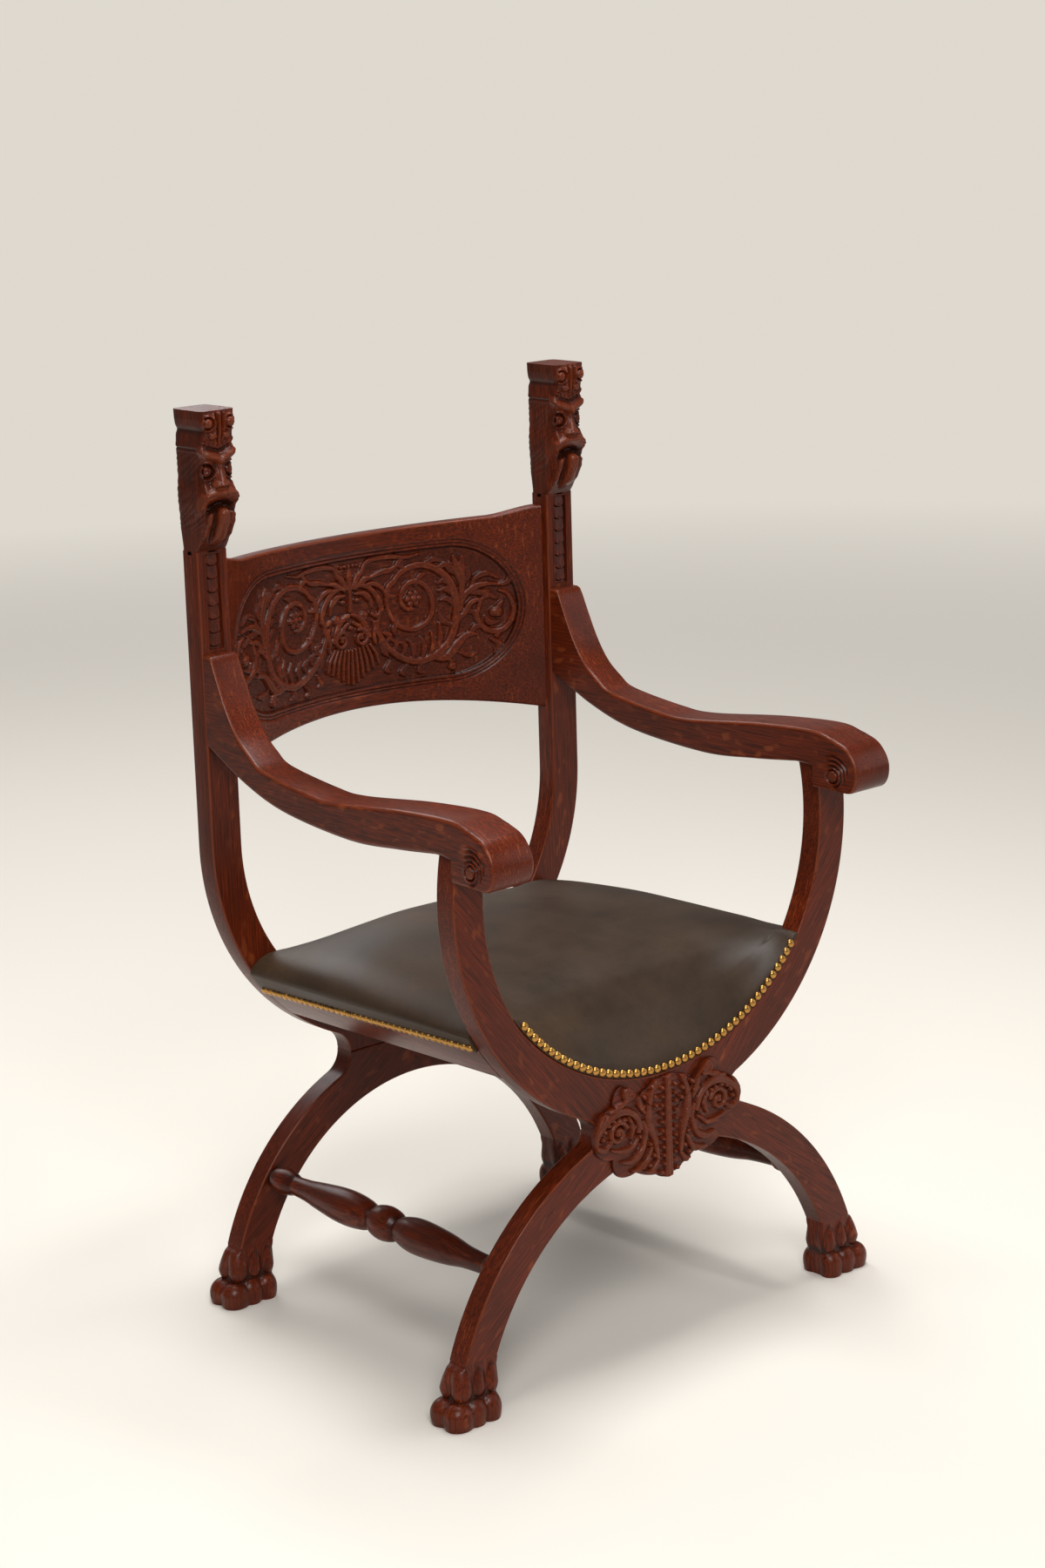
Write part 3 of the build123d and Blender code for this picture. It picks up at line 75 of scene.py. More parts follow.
def linear(value):
    """An sRGB hex colour such as "5a2f1e" as linear red, green and blue."""
    parts = [int(value[i : i + 2], 16) / 255 for i in (0, 2, 4)]
    return [p / 12.92 if p <= 0.04045 else ((p + 0.055) / 1.055) ** 2.4 for p in parts]


class ChairSizes(bpy.types.PropertyGroup):
    """Sizes of the frame's curves, its carving and its upholstery."""

    front_bowl_z: length("Front bowl height", 576.4, "Height of the front bowl's centre")
    front_bowl_inner: length("Front bowl radius", 259, "Inside radius of the front bowl")
    front_bowl_width: length("Front bowl width", 42, "Width of the front bowl's ring")
    front_arch_z: length("Front arch centre", -42.6, "Height of the front arch's centre")
    front_arch_inner: length("Front arch radius", 282.7, "Inside radius of the front arch")
    front_arch_width: length("Front arch width", 43.3, "Width of the front arch's ring")
    front_cove: length("Front cove", 20, "Radius of the cove between front bowl and arch")
    rear_bowl_z: length("Rear bowl height", 561.5, "Height of the rear bowl's centre")
    rear_bowl_inner: length("Rear bowl radius", 244.6, "Inside radius of the rear bowl")
    rear_bowl_width: length("Rear bowl width", 42, "Width of the rear bowl's ring")
    rear_arch_z: length("Rear arch centre", -24.2, "Height of the rear arch's centre")
    rear_arch_inner: length("Rear arch radius", 246.9, "Inside radius of the rear arch")
    rear_arch_width: length("Rear arch width", 45.4, "Width of the rear arch's ring")
    rear_cove: length("Rear cove", 30, "Radius of the cove between rear bowl and arch")
    foot_rise: length("Foot rise", 10, "Extra wood in the foot of the front bowl")
    foot_half_width: length("Foot half width", 213, "Where the foot's flatter curve ends")
    drop_half_width: length("Drop half width", 58, "Half width of the drop behind the cartouche")
    drop_depth: length("Drop depth", 33, "Depth of the drop behind the cartouche")
    paw_height: length("Paw height", 70, "Height at which the legs stand on the paws")
    head_bottom: length("Head bottom", 907, "Height at which the carved heads begin")
    arris: length("Arris", 2.4, "Radius worn on the frame's long edges")
    arm_arris: length("Arm arris", 4.5, "Radius worn on the arms' long edges")
    scale_pitch: length("Scale pitch", 15.5, "Height of one scale in the stiles' channels")
    field_half_length: length("Field half length", 218, "Half length of the back board's carving")
    field_half_height: length("Field half height", 81, "Half height of the back board's carving")
    field_z: length("Field height", 770, "Height of the middle of the carving")
    field_depth: length("Field depth", 4.5, "Depth of the ground behind the carving")
    nail_head: length("Nail head", 10.4, "Width of one domed nail")
    nail_proud: length("Nail dome", 3.6, "Height of one domed nail")
    leather_grain: length("Leather grain", 1.6, "Width of one pebble of the leather's grain")


class ChairColours(bpy.types.PropertyGroup):
    """Colours of the finishes."""

    oak: colour("Oak", "6c250b", "Red-brown polish on quarter-sawn oak")
    oak_dark: colour("Oak shade", "300f05", "The same polish over the dark grain")
    oak_fleck: colour("Oak fleck", "8c4420", "The bright ray flecks of the quartered face")
    # dark glaze in the pores and hollows, and painted shade in the carving's hollows
    glaze: colour("Glaze", "160804", "Dark glaze left in the carving's hollows")
    # polish rubbed thin on edges and crests, and a painted highlight there
    rubbed: colour("Rubbed", "7a3c22", "Edges rubbed thin by hands")
    leather: colour("Leather", "36271a", "Dark brown upholstery hide")
    brass: colour("Brass", "b88a49", "Antiqued brass")
    jute: colour("Jute", "a98a5c", "Woven jute")
    linen: colour("Linen", "b8a988", "Plain linen")
    cambric: colour("Cambric", "141415", "Black cotton")
    birch: colour("Birch", "c8a478", "Bare birch")
    hardwood: colour("Hardwood", "6b4a2d", "Plain hardwood under the upholstery")


def sizes():
    """The chair's sizes, as set in the panel."""
    return bpy.context.scene.chair_sizes


def colours():
    """The chair's colours, as set in the panel."""
    return bpy.context.scene.chair_colours


# ----------------------------------------------------------- places on the frame
def box(node):
    """A node's lowest and highest corners."""
    return [np.array(corner, float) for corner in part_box(node)]


FRONT_Y = box("front_post_right")[0][1]
FRONT_BACK_Y = box("front_post_right")[1][1]
REAR_Y = box("rear_leg_right")[0][1]
REAR_BACK_Y = box("rear_leg_right")[1][1]
STOCK = FRONT_BACK_Y - FRONT_Y
ARM_SEAT_Z = box("front_post_right")[1][2]
TOP_Z = box("rear_stile_right")[1][2]


# ----------------------------------------------------------------- mesh tools
def grid_faces(rows, cols, start, wrap):
    """Quads over a grid of rows and columns; wrap joins the last column to the first."""
    index = start + np.arange(rows * cols).reshape(rows, cols)
    if wrap:
        index = np.concatenate([index, index[:, :1]], axis=1)
    corners = (index[:-1, :-1], index[:-1, 1:], index[1:, 1:], index[1:, :-1])
    return np.stack(corners, -1).reshape(-1, 4)


WELD = 2e-6  # metres: points nearer than this become one
SHARP = radians(58)  # an edge that turns more than this stays crisp


def tube(points, wear):
    """A closed tube from rings, with their wear and painted light: each end ring gets a row drawn
    in to its middle.
    """
    first, last = (
        np.repeat(ring.mean(axis=1, keepdims=True), points.shape[1], axis=1)
        for ring in (points[:1], points[-1:])
    )
    wear = np.broadcast_to(wear, points.shape[:2])
    return (
        np.concatenate([first, points, last]), np.concatenate([wear[:1], wear, wear[-1:]]), True
    )


def make_piece(name, sheets, material, nodes, even_normals=False):
    """One object from closed sheets, each (points, wear and painted light or None, wrap). Points
    are rows by columns by XYZ; that value is 0 at a plain place, above 0 where rubbed and painted
    paler as a highlight, below 0 in a hollow, painted dark as glaze and shade."""
    verts, faces, wear, start = [], [], [], 0
    for points, value, wrap in sheets:
        rows, cols = points.shape[:2]
        faces.append(grid_faces(rows, cols, start, wrap))
        verts.append(points.reshape(-1, 3))
        wear.append(np.zeros(rows * cols) if value is None else np.asarray(value).reshape(-1))
        start += rows * cols
    verts = np.concatenate(verts).astype(np.float32)
    faces = np.concatenate(faces).astype(np.int32)
    mesh = bpy.data.meshes.new(name)
    mesh.vertices.add(len(verts))
    mesh.vertices.foreach_set("co", verts.ravel())
    mesh.loops.add(faces.size)
    mesh.loops.foreach_set("vertex_index", faces.ravel())
    mesh.polygons.add(len(faces))
    mesh.polygons.foreach_set("loop_start", np.arange(0, faces.size, 4, dtype=np.int32))
    mesh.update(calc_edges=True)
    layer = mesh.attributes.new("wear", "FLOAT", "POINT")
    layer.data.foreach_set("value", np.concatenate(wear).astype(np.float32))
    work = bmesh.new()
    work.from_mesh(mesh)
    bmesh.ops.remove_doubles(work, verts=work.verts, dist=WELD)
    bmesh.ops.dissolve_degenerate(work, edges=work.edges, dist=1e-7)
    bmesh.ops.recalc_face_normals(work, faces=work.faces)
    work.to_mesh(mesh)
    work.free()
    mesh.shade_smooth()
    mesh.set_sharp_from_angle(angle=SHARP)
    piece = bpy.data.objects.new(name, mesh)
    bpy.context.scene.collection.objects.link(piece)
    if even_normals:
        even = piece.modifiers.new("Even normals", "WEIGHTED_NORMAL")
        even.weight = 60
        even.keep_sharp = True
    mesh.materials.append(material)
    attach(piece, "root")
    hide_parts(*nodes)
    return piece


def mirrored(sheets):
    """The same sheets on the other side of the chair."""
    return [(points * np.array([-1.0, 1.0, 1.0]), wear, wrap) for points, wear, wrap in sheets]


def both_sides(name, sheets, grain, nodes=(), even_normals=False):
    """A right-hand oak piece and its mirror image; {} in the grain's name stands for the side."""
    for side, turned in (("right", sheets), ("left", mirrored(sheets))):
        make_piece(
            f"{name}_{side}_wood", turned, oak(grain.format(side)),
            [f"{node}_{side}" for node in nodes or [name]], even_normals,
        )


def smoothstep(low, high, value):
    """0 below low, 1 above high, and a smooth rise between."""
    share = np.clip((value - low) / (high - low), 0, 1)
    return share * share * (3 - 2 * share)


def hump(value, middle, half_width):
    """A smooth hump of height 1, with a bell's outline."""
    return np.exp(-(((value - middle) / half_width) ** 2))


def dome(far, radius):
    """A ball's outline of height 1 round a middle."""
    return np.sqrt(np.clip(1 - (far / radius) ** 2, 0, 1))


def curve_through(points, steps=10):
    """A smooth path through points, by Catmull and Rom's cubic between each two. The points are
    pairs, or one flat run of numbers."""
    p = np.reshape(points, (-1, 2)).astype(float)
    p = np.concatenate([2 * p[:1] - p[1:2], p, 2 * p[-1:] - p[-2:-1]])
    t = np.linspace(0, 1, steps, endpoint=False)[:, None]
    spans = [
        0.5 * (2 * b + (c - a) * t + (2 * a - 5 * b + 4 * c - d) * t**2
               + (3 * b - a - 3 * c + d) * t**3)
        for a, b, c, d in zip(p[:-3], p[1:-2], p[2:-1], p[3:])
    ]
    return np.concatenate(spans + [p[-2:-1]])


def coil(centre, outer, inner, start, turns, steps=60):
    """A spiral: its radius falls evenly from outer to inner while it turns."""
    share = np.linspace(0, 1, steps)
    angle = start + 2 * pi * turns * share
    radius = outer + (inner - outer) * share
    return np.stack([centre[0] + radius * np.cos(angle), centre[1] + radius * np.sin(angle)], -1)


def nearest(x, z, path):
    """Each place's distance from a path, and the share of the path where it is nearest."""
    best = np.full(x.shape, np.inf)
    share = np.zeros(x.shape)
    count = len(path) - 1
    for index in range(count):
        a, b = path[index], path[index + 1]
        span = b - a
        size = max(float(span @ span), 1e-12)
        t = np.clip(((x - a[0]) * span[0] + (z - a[1]) * span[1]) / size, 0, 1)
        away = np.hypot(x - a[0] - t * span[0], z - a[1] - t * span[1])
        closer = away < best
        best = np.where(closer, away, best)
        share = np.where(closer, (index + t) / count, share)
    return best, share


def ellipse_hits(way_x, way_y, centre_x, centre_y, half_x, half_y, level=1.0):
    """How far along their way rays from the origin enter and leave an ellipse, and which meet it:
    the two roots of the square equation that a ray and the ellipse share. level is 1, or less
    where the ellipse is a level cut of an egg-shaped lobe."""
    first = (way_x / half_x) ** 2 + (way_y / half_y) ** 2
    second = -2 * (centre_x * way_x / half_x**2 + centre_y * way_y / half_y**2)
    third = (centre_x / half_x) ** 2 + (centre_y / half_y) ** 2 - level
    inside = second**2 - 4 * first * third
    root = np.sqrt(np.clip(inside, 0, None))
    return (-second - root) / (2 * first), (-second + root) / (2 * first), inside > 0


class Relief:
    """A carved height over a flat pattern, in millimetres, built up by rounded strokes."""

    def __init__(self, x, z):
        self.x, self.z = x, z
        self.height = np.zeros(x.shape)

    def raise_to(self, mask, value):
        """Lift the places under a mask to a height, where they are lower."""
        self.height[mask] = np.maximum(self.height[mask], value)

    def stroke(self, path, widths, height, vein=0.0):
        """A rounded band whose half width runs through three widths along its path."""
        path = np.asarray(path, float)
        reach = max(widths)
        (left, low), (right, high) = path.min(0) - reach, path.max(0) + reach
        mask = (self.x > left) & (self.x < right) & (self.z > low) & (self.z < high)
        if not mask.any():
            return
        away, share = nearest(self.x[mask], self.z[mask], path)
        half = np.interp(share, (0, 0.5, 1), widths)
        body = height * dome(away, half)
        body -= vein * hump(away, 0, 0.22 * reach) * (body > 0)
        self.raise_to(mask, body)

    def strokes(self, table, height, vein):
        """Strokes from rows of three widths and then the path's places, as one flat run."""
        for row in table:
            self.stroke(curve_through(row[3:], 6), row[:3], height, vein)

    def bead(self, x, z, radius, height, flat=1.0):
        """A round or oval button."""
        away = np.hypot(self.x - x, (self.z - z) / flat)
        mask = away < radius
        self.raise_to(mask, height * np.sqrt(1 - (away[mask] / radius) ** 2))


# ------------------------------------------------------------------ materials
def connect(tree, value, socket):
    """Link a node's output to a socket, or give the socket a value of its own."""
    if isinstance(value, bpy.types.NodeSocket):
        tree.links.new(value, socket)
    else:
        socket.default_value = (*value, 1) if socket.type == "RGBA" else value


def add_node(tree, kind, settings=None, **inputs):
    """A node with its settings, and its inputs linked or set by name, or as i and a number."""
    node = tree.nodes.new(kind)
    for key, value in (settings or {}).items():
        setattr(node, key, value)
    for key, value in inputs.items():
        numbered = key[0] == "i" and key[1:].isdigit()
        connect(tree, value, node.inputs[int(key[1:]) if numbered else key.replace("_", " ")])
    return node


def new_finish(name, **constants):
    """An empty finish: its tree and its surface shader, with constants on the shader."""
    material = bpy.data.materials.new(name)
    material.use_nodes = True
    tree = material.node_tree
    shader = tree.nodes["Principled BSDF"]
    for key, value in {"IOR": 1.45, **constants}.items():
        shader.inputs[key.replace("_", " ")].default_value = value
    return material, tree, shader


def dress(tree, shader, colour, rough=None, bump=None):
    """Feed a shader its colour, its roughness and a bump of (height, strength, distance)."""
    tree.links.new(colour, shader.inputs["Base Color"])
    if rough:
        tree.links.new(rough, shader.inputs["Roughness"])
    if bump:
        height, strength, distance = bump
        made = add_node(
            tree, "ShaderNodeBump", Height=height, Strength=strength, Distance=distance
        )
        tree.links.new(made.outputs[0], shader.inputs["Normal"])


def on_object(tree):
    """Places in the piece's own frame, in metres."""
    return add_node(tree, "ShaderNodeTexCoord").outputs["Object"]


def worn(tree):
    """The piece's own wear and painted light: glaze and painted shade below 0, rubbed polish and
    painted highlight above 0.
    """
    return add_node(tree, "ShaderNodeAttribute", {"attribute_name": "wear"}).outputs["Fac"]


def maths(tree, operation, *values):
    """A sum, product or the like of values."""
    inputs = {f"i{index}": value for index, value in enumerate(values)}
    return add_node(tree, "ShaderNodeMath", {"operation": operation}, **inputs).outputs[0]


def blend_colour(tree, share, low, high):
    """A mix of two colours by a share."""
    node = add_node(tree, "ShaderNodeMix", {"data_type": "RGBA"}, i0=share, i6=low, i7=high)
    return node.outputs[2]


def remap(tree, value, low, high, to_low=0.0, to_high=1.0):
    """A value stretched from one range to another, and held inside it."""
    node = add_node(
        tree, "ShaderNodeMapRange", {"clamp": True}, Value=value,
        From_Min=low, From_Max=high, To_Min=to_low, To_Max=to_high,
    )
    return node.outputs[0]


def turned_by(tree, place, angles):
    """Places turned about the piece's own axes."""
    return add_node(tree, "ShaderNodeMapping", Vector=place, Rotation=angles).outputs[0]


def noise(tree, place, scale, detail, rough=0.6):
    """Soft random values between 0 and 1."""
    return add_node(
        tree, "ShaderNodeTexNoise", Vector=place, Scale=scale, Detail=detail, Roughness=rough
    ).outputs[0]


def stretched_noise(tree, place, along, across, detail, rough=0.55, depth=None):
    """Noise drawn out along X: one cell is along by across, in metres."""
    scale = (1 / along, 1 / across, 1 / (depth or across))
    mapping = add_node(tree, "ShaderNodeMapping", Vector=place, Scale=scale)
    return noise(tree, mapping.outputs[0], 1.0, detail, rough)


GRAIN_TURNS = {
    "upright": (0, radians(90), 0),
    "front_back": (0, 0, radians(-90)),
    "across": (0, 0, 0),
    "bowl_right": (0, radians(50), 0),
    "bowl_left": (0, radians(-50), 0),
    "arch_right": (0, radians(-36), 0),
    "arch_left": (0, radians(36), 0),
}
RAY_LEAN = (0, radians(-8), 0)  # how far the ray flecks lie aslant the grain


def oak(direction):
    """Quarter-sawn oak, stained red-brown and polished with shellac: fine straight dark grain,
    thin bright ray flecks that lie aslant it, dark glaze in the pores, dark glaze with painted
    shade in the hollows, and a paler colour on rubbed edges that is partly thin polish and partly a
    painted highlight."""
    name = f"oak_{direction}"
    if name in bpy.data.materials:
        return bpy.data.materials[name]
    tint = colours()
    material, tree, shader = new_finish(
        name, Specular_IOR_Level=0.20, Coat_Weight=0.07, Coat_Roughness=0.2
    )
    turned = turned_by(tree, on_object(tree), GRAIN_TURNS[direction])
    # the size of one cell along and across the grain, then how fine and how rough it is
    cloud = stretched_noise(tree, turned, 0.22, 0.05, 2.0)
    grain = stretched_noise(tree, turned, 0.06, 0.0015, 5.0, 0.65)
    pores = stretched_noise(tree, turned, 0.009, 0.0005, 2.0, 0.7)
    aslant = turned_by(tree, turned, RAY_LEAN)
    rays = stretched_noise(tree, aslant, 0.020, 0.0016, 1.0, 0.4, 0.010)
    wear = worn(tree)
    fleck = maths(
        tree, "MULTIPLY", remap(tree, rays, 0.60, 0.72), remap(tree, cloud, 0.62, 0.38, 0.08, 0.5)
    )
    rub_and_highlight = maths(
        tree, "MULTIPLY", remap(tree, wear, 0.1, 1.0), remap(tree, cloud, 0.3, 0.6, 0.12, 0.45)
    )
    seen = blend_colour(tree, remap(tree, grain, 0.36, 0.64), tint.oak_dark, tint.oak)
    # after clouds and flecks: glaze in the pores, glaze and painted shade in the hollows, and a
    # paler colour on edges and crests that is rubbed polish and a painted highlight
    for share, over in (
        (remap(tree, cloud, 0.40, 0.75, 0.0, 0.55), tint.oak_dark),
        (fleck, tint.oak_fleck),
        (remap(tree, pores, 0.58, 0.74, 0.0, 0.55), tint.glaze),
        (remap(tree, wear, -0.05, -0.9, 0.0, 0.78), tint.glaze),
        (rub_and_highlight, tint.rubbed),
    ):
        seen = blend_colour(tree, share, seen, over)
    height = maths(tree, "MULTIPLY_ADD", pores, -0.6, grain)
    dress(tree, shader, seen, remap(tree, grain, 0.3, 0.7, 0.38, 0.28), (height, 0.20, 0.0005))
    return material


def shade(tint, factor):
    """A colour made darker or paler by a factor."""
    return [factor * part for part in tint]


def plain_wood(name, tint):
    """Bare hardwood with open straight grain, sawn and not polished."""
    material, tree, shader = new_finish(name, Roughness=0.7)
    grain = stretched_noise(tree, on_object(tree), 0.05, 0.0016, 4.0, 0.6)
    seen = blend_colour(tree, remap(tree, grain, 0.35, 0.65), shade(tint, 0.55), tint)
    dress(tree, shader, seen, None, (grain, 0.25, 0.0004))
    return material


def upholstery_leather():
    """Aniline-dyed hide, tanned, boarded to a fine pebble and waxed: a low broad sheen."""
    tint = colours().leather
    material, tree, shader = new_finish("upholstery_leather", Specular_IOR_Level=0.3)
    place = on_object(tree)
    pebble = add_node(
        tree, "ShaderNodeTexVoronoi", {"feature": "F1"}, Vector=place,
        Scale=1 / sizes().leather_grain, Randomness=0.9,
    ).outputs["Distance"]
    cloud = noise(tree, place, 9.0, 4.0)
    fine = noise(tree, place, 160.0, 3.0)
    dark, pale = shade(tint, 0.62), shade(tint, 1.35)
    base = blend_colour(tree, remap(tree, cloud, 0.3, 0.7), dark, pale)
    seen = blend_colour(tree, remap(tree, fine, 0.45, 0.7, 0.0, 0.35), base, dark)
    height = maths(tree, "MULTIPLY_ADD", pebble, -0.5, fine)
    dress(tree, shader, seen, remap(tree, cloud, 0.3, 0.7, 0.42, 0.54), (height, 0.22, 0.0005))
    return material


def antique_brass():
    """Stamped brass nail heads, lacquered and darkened: bright crowns, and brown feet that are
    partly patina and partly painted shade in the gaps.
    """
    material, tree, shader = new_finish("antique_brass", Metallic=1.0, IOR=1.5)
    mottle = noise(tree, on_object(tree), 140.0, 3.0)
    toned = blend_colour(
        tree, remap(tree, mottle, 0.4, 0.75, 0.0, 0.45), colours().brass, linear("a0722f")
    )
    # the feet painted dark brown: partly patina, partly painted shade where the head meets the
    # leather
    seen = blend_colour(
        tree, remap(tree, worn(tree), 0.0, -1.0, 0.0, 0.9), toned, linear("2a1a0c")
    )
    dress(tree, shader, seen, remap(tree, mottle, 0.3, 0.7, 0.24, 0.4))
    return material


def woven(name, tint, pitch, rough):
    """A plain weave: threads over and under at one pitch, with uneven spun yarn."""
    material, tree, shader = new_finish(name, Roughness=rough, Sheen_Weight=0.25)
    place = on_object(tree)
    scaled = add_node(
        tree, "ShaderNodeVectorMath", {"operation": "SCALE"}, i0=place, Scale=pi / pitch
    )
    axes = add_node(tree, "ShaderNodeSeparateXYZ", i0=scaled.outputs[0]).outputs
    weave = maths(tree, "MULTIPLY", maths(tree, "SINE", axes[0]), maths(tree, "SINE", axes[1]))
    level = maths(tree, "ADD", weave, noise(tree, place, 300.0, 2.0))
    seen = blend_colour(tree, remap(tree, level, -0.6, 1.4), shade(tint, 0.5), tint)
    dress(tree, shader, seen, None, (level, 0.5, pitch / 4))
    return material


# ---------------------------------------------------------------- frame members
def rounded_section(width, depth, radius, across):
    """Places round a board's rounded section, from its front face outwards. Gives the distance
    from the inner edge (rows by columns), the depth behind the front face and the wear and painted
    light: 1 on the rounded edges, painted paler as rubbed polish and a painted highlight."""
    face = np.linspace(0, 1, across + 1)
    edge = np.linspace(0, 1, 3)
    turn = np.linspace(0, pi / 2, 5)[1:-1]
    rise, fall = radius * (1 - np.cos(turn)), radius * (1 - np.sin(turn))
    length_left = depth - 2 * radius
    # each part: its share of the width and an extra, its depth behind the face, and its wear and
    # painted highlight
    parts = (
        (face, radius * (1 - 2 * face), 0, 0),
        (1, -fall, rise, 1),
        (1, 0, radius + edge * length_left, 0),
        (1, -rise, depth - fall, 1),
        (1 - face, -radius * (1 - 2 * face), depth, 0),
        (0, fall, depth - rise, 1),
        (0, 0, depth - radius - edge * length_left, 0),
        (0, rise, fall, 1),
    )
    share, extra, behind, rub_and_highlight = (
        np.concatenate(column) for column in zip(*(np.broadcast_arrays(*part) for part in parts))
    )
    return width[:, None] * share + extra, behind, rub_and_highlight


def board_sheet(inner, outer, front_y, radius, across=2, carve=None):
    """A sawn board between two curves in the XZ plane: straight from the inner curve to the
    outer one, its section a rounded rectangle. carve(x, z) sinks the front face, in metres."""
    span = outer - inner
    width = np.linalg.norm(span, axis=1)
    way = span / width[:, None]
    away, behind, rub_and_highlight = rounded_section(width, STOCK, radius, across)
    x = inner[:, None, 0] + way[:, None, 0] * away
    z = inner[:, None, 1] + way[:, None, 1] * away
    y = np.broadcast_to(front_y + behind, x.shape).copy()
    wear = np.broadcast_to(rub_and_highlight, x.shape).astype(float)
    if carve:
        sunk = np.where(behind < 1e-9, carve(x, z), 0.0)
        y += sunk
        # the sunk channel is painted darker: glaze and painted shade
        wear -= np.clip(sunk / (3 * MM), 0, 1) * 0.5
    return tube(np.stack([x, y, z], -1), wear)


class Ring:
    """One frame's curves: the bowl above, the arch below, and the coves where they part."""

    def __init__(self, which):
        s = sizes()
        get = lambda name: getattr(s, f"{which}_{name}")
        self.bowl_z, self.arch_z, self.cove = get("bowl_z"), get("arch_z"), get("cove")
        self.bowl_inner, self.arch_inner = get("bowl_inner"), get("arch_inner")
        self.bowl_outer = self.bowl_inner + get("bowl_width")
        self.arch_outer = self.arch_inner + get("arch_width")
        upper = self.bowl_outer + self.cove
        lower = self.arch_outer + self.cove
        gap = self.bowl_z - self.arch_z
        self.joint_z = (lower**2 - upper**2 + self.bowl_z**2 - self.arch_z**2) / (2 * gap)
        self.cove_x = sqrt(upper**2 - (self.bowl_z - self.joint_z) ** 2)

    def quarter(self, centre_z, up, inner, outer, reach, near, count=72):
        """The inner and outer curves of a quarter ring, from the hub round. up is -1 where the hub
        is under the ring's centre. reach(radius) is how far round a curve goes; near(angle) is the
        inner curve's distance from the centre. The outer curve runs along the joint, at the rise
        over the angle's cosine; round the cove, where a ray first meets a circle that touches the
        rim, with its points closer; and on along the rim, at the outer radius."""
        rise = abs(centre_z - self.joint_z)
        touch, neck = atan2(self.cove_x, rise), atan2(self.cove_x - self.cove, rise)
        reach_in, reach_out = reach(inner), reach(outer)
        start, stop = neck / reach_out, touch / reach_out
        clear, cove_points = 0.004, 14
        even = np.linspace(0, 1, count)
        even = even[(even < start - clear) | (even > stop + clear)]
        share = np.sort(np.concatenate([even, np.linspace(start, stop, cove_points)]))
        a, b = share * reach_in, share * reach_out
        beyond = outer + self.cove
        inside = np.clip(self.cove**2 - (beyond * np.sin(b - touch)) ** 2, 0, None)
        cove = beyond * np.cos(b - touch) - np.sqrt(inside)
        joint = rise / np.cos(np.minimum(b, neck))
        far = np.where(b >= touch, outer, np.where(b > neck, cove, joint))
        return [
            np.stack([away * np.sin(angle), centre_z + up * away * np.cos(angle)], -1)
            for away, angle in ((near(a), a), (far, b))
        ]

    def bowl(self, top_z, foot=None, count=72):
        """A quarter of the bowl, from the hub up to a level, with a flatter foot if given one."""
        def near(angle):
            if not foot:
                return self.bowl_inner + 0 * angle
            radius, offset = foot
            flat = np.sqrt(radius**2 - (offset * np.sin(angle)) ** 2) - offset * np.cos(angle)
            return np.minimum(self.bowl_inner, flat)

        reach = lambda radius: pi / 2 + asin((top_z - self.bowl_z) / radius)
        return self.quarter(
            self.bowl_z, -1, self.bowl_inner, self.bowl_outer, reach, near, count
        )

    def arch(self, foot_z, drop=None):
        """A quarter of the arch, from the hub down to a level, with half a drop if given one."""
        def near(angle):
            if not drop:
                return self.arch_inner + 0 * angle
            low, _, hit = ellipse_hits(
                np.sin(angle), np.cos(angle), 0, self.arch_inner, *drop
            )
            return np.where(hit, np.minimum(self.arch_inner, low), self.arch_inner)

        reach = lambda radius: acos((foot_z - self.arch_z) / radius)
        return self.quarter(self.arch_z, 1, self.arch_inner, self.arch_outer, reach, near)


def foot_curve():
    """Radius of the front bowl's flatter foot, and how far its centre is above the bowl's."""
    s = sizes()
    low = s.front_bowl_z - s.front_bowl_inner + s.foot_rise
    edge = s.front_bowl_z - sqrt(s.front_bowl_inner**2 - s.foot_half_width**2)
    sagitta = edge - low
    radius = (s.foot_half_width**2 + sagitta**2) / (2 * sagitta)
    return radius, low + radius - s.front_bowl_z


class BuildFrontFrame(bpy.types.Operator):
    """Build the front frame: two bowl quarters and two arch quarters"""

    bl_idname = "armchair.front_frame"
    bl_label = "Front frame"

    def execute(self, context):
        s = sizes()
        ring = Ring("front")
        posts = board_sheet(*ring.bowl(ARM_SEAT_Z, foot_curve()), FRONT_Y, s.arris)
        drop = (s.drop_half_width, s.drop_depth)
        legs = board_sheet(*ring.arch(s.paw_height, drop), FRONT_Y, s.arris)
        both_sides("front_post", [posts], "bowl_{}", even_normals=True)
        both_sides("front_leg", [legs], "arch_{}", even_normals=True)
        return {"FINISHED"}


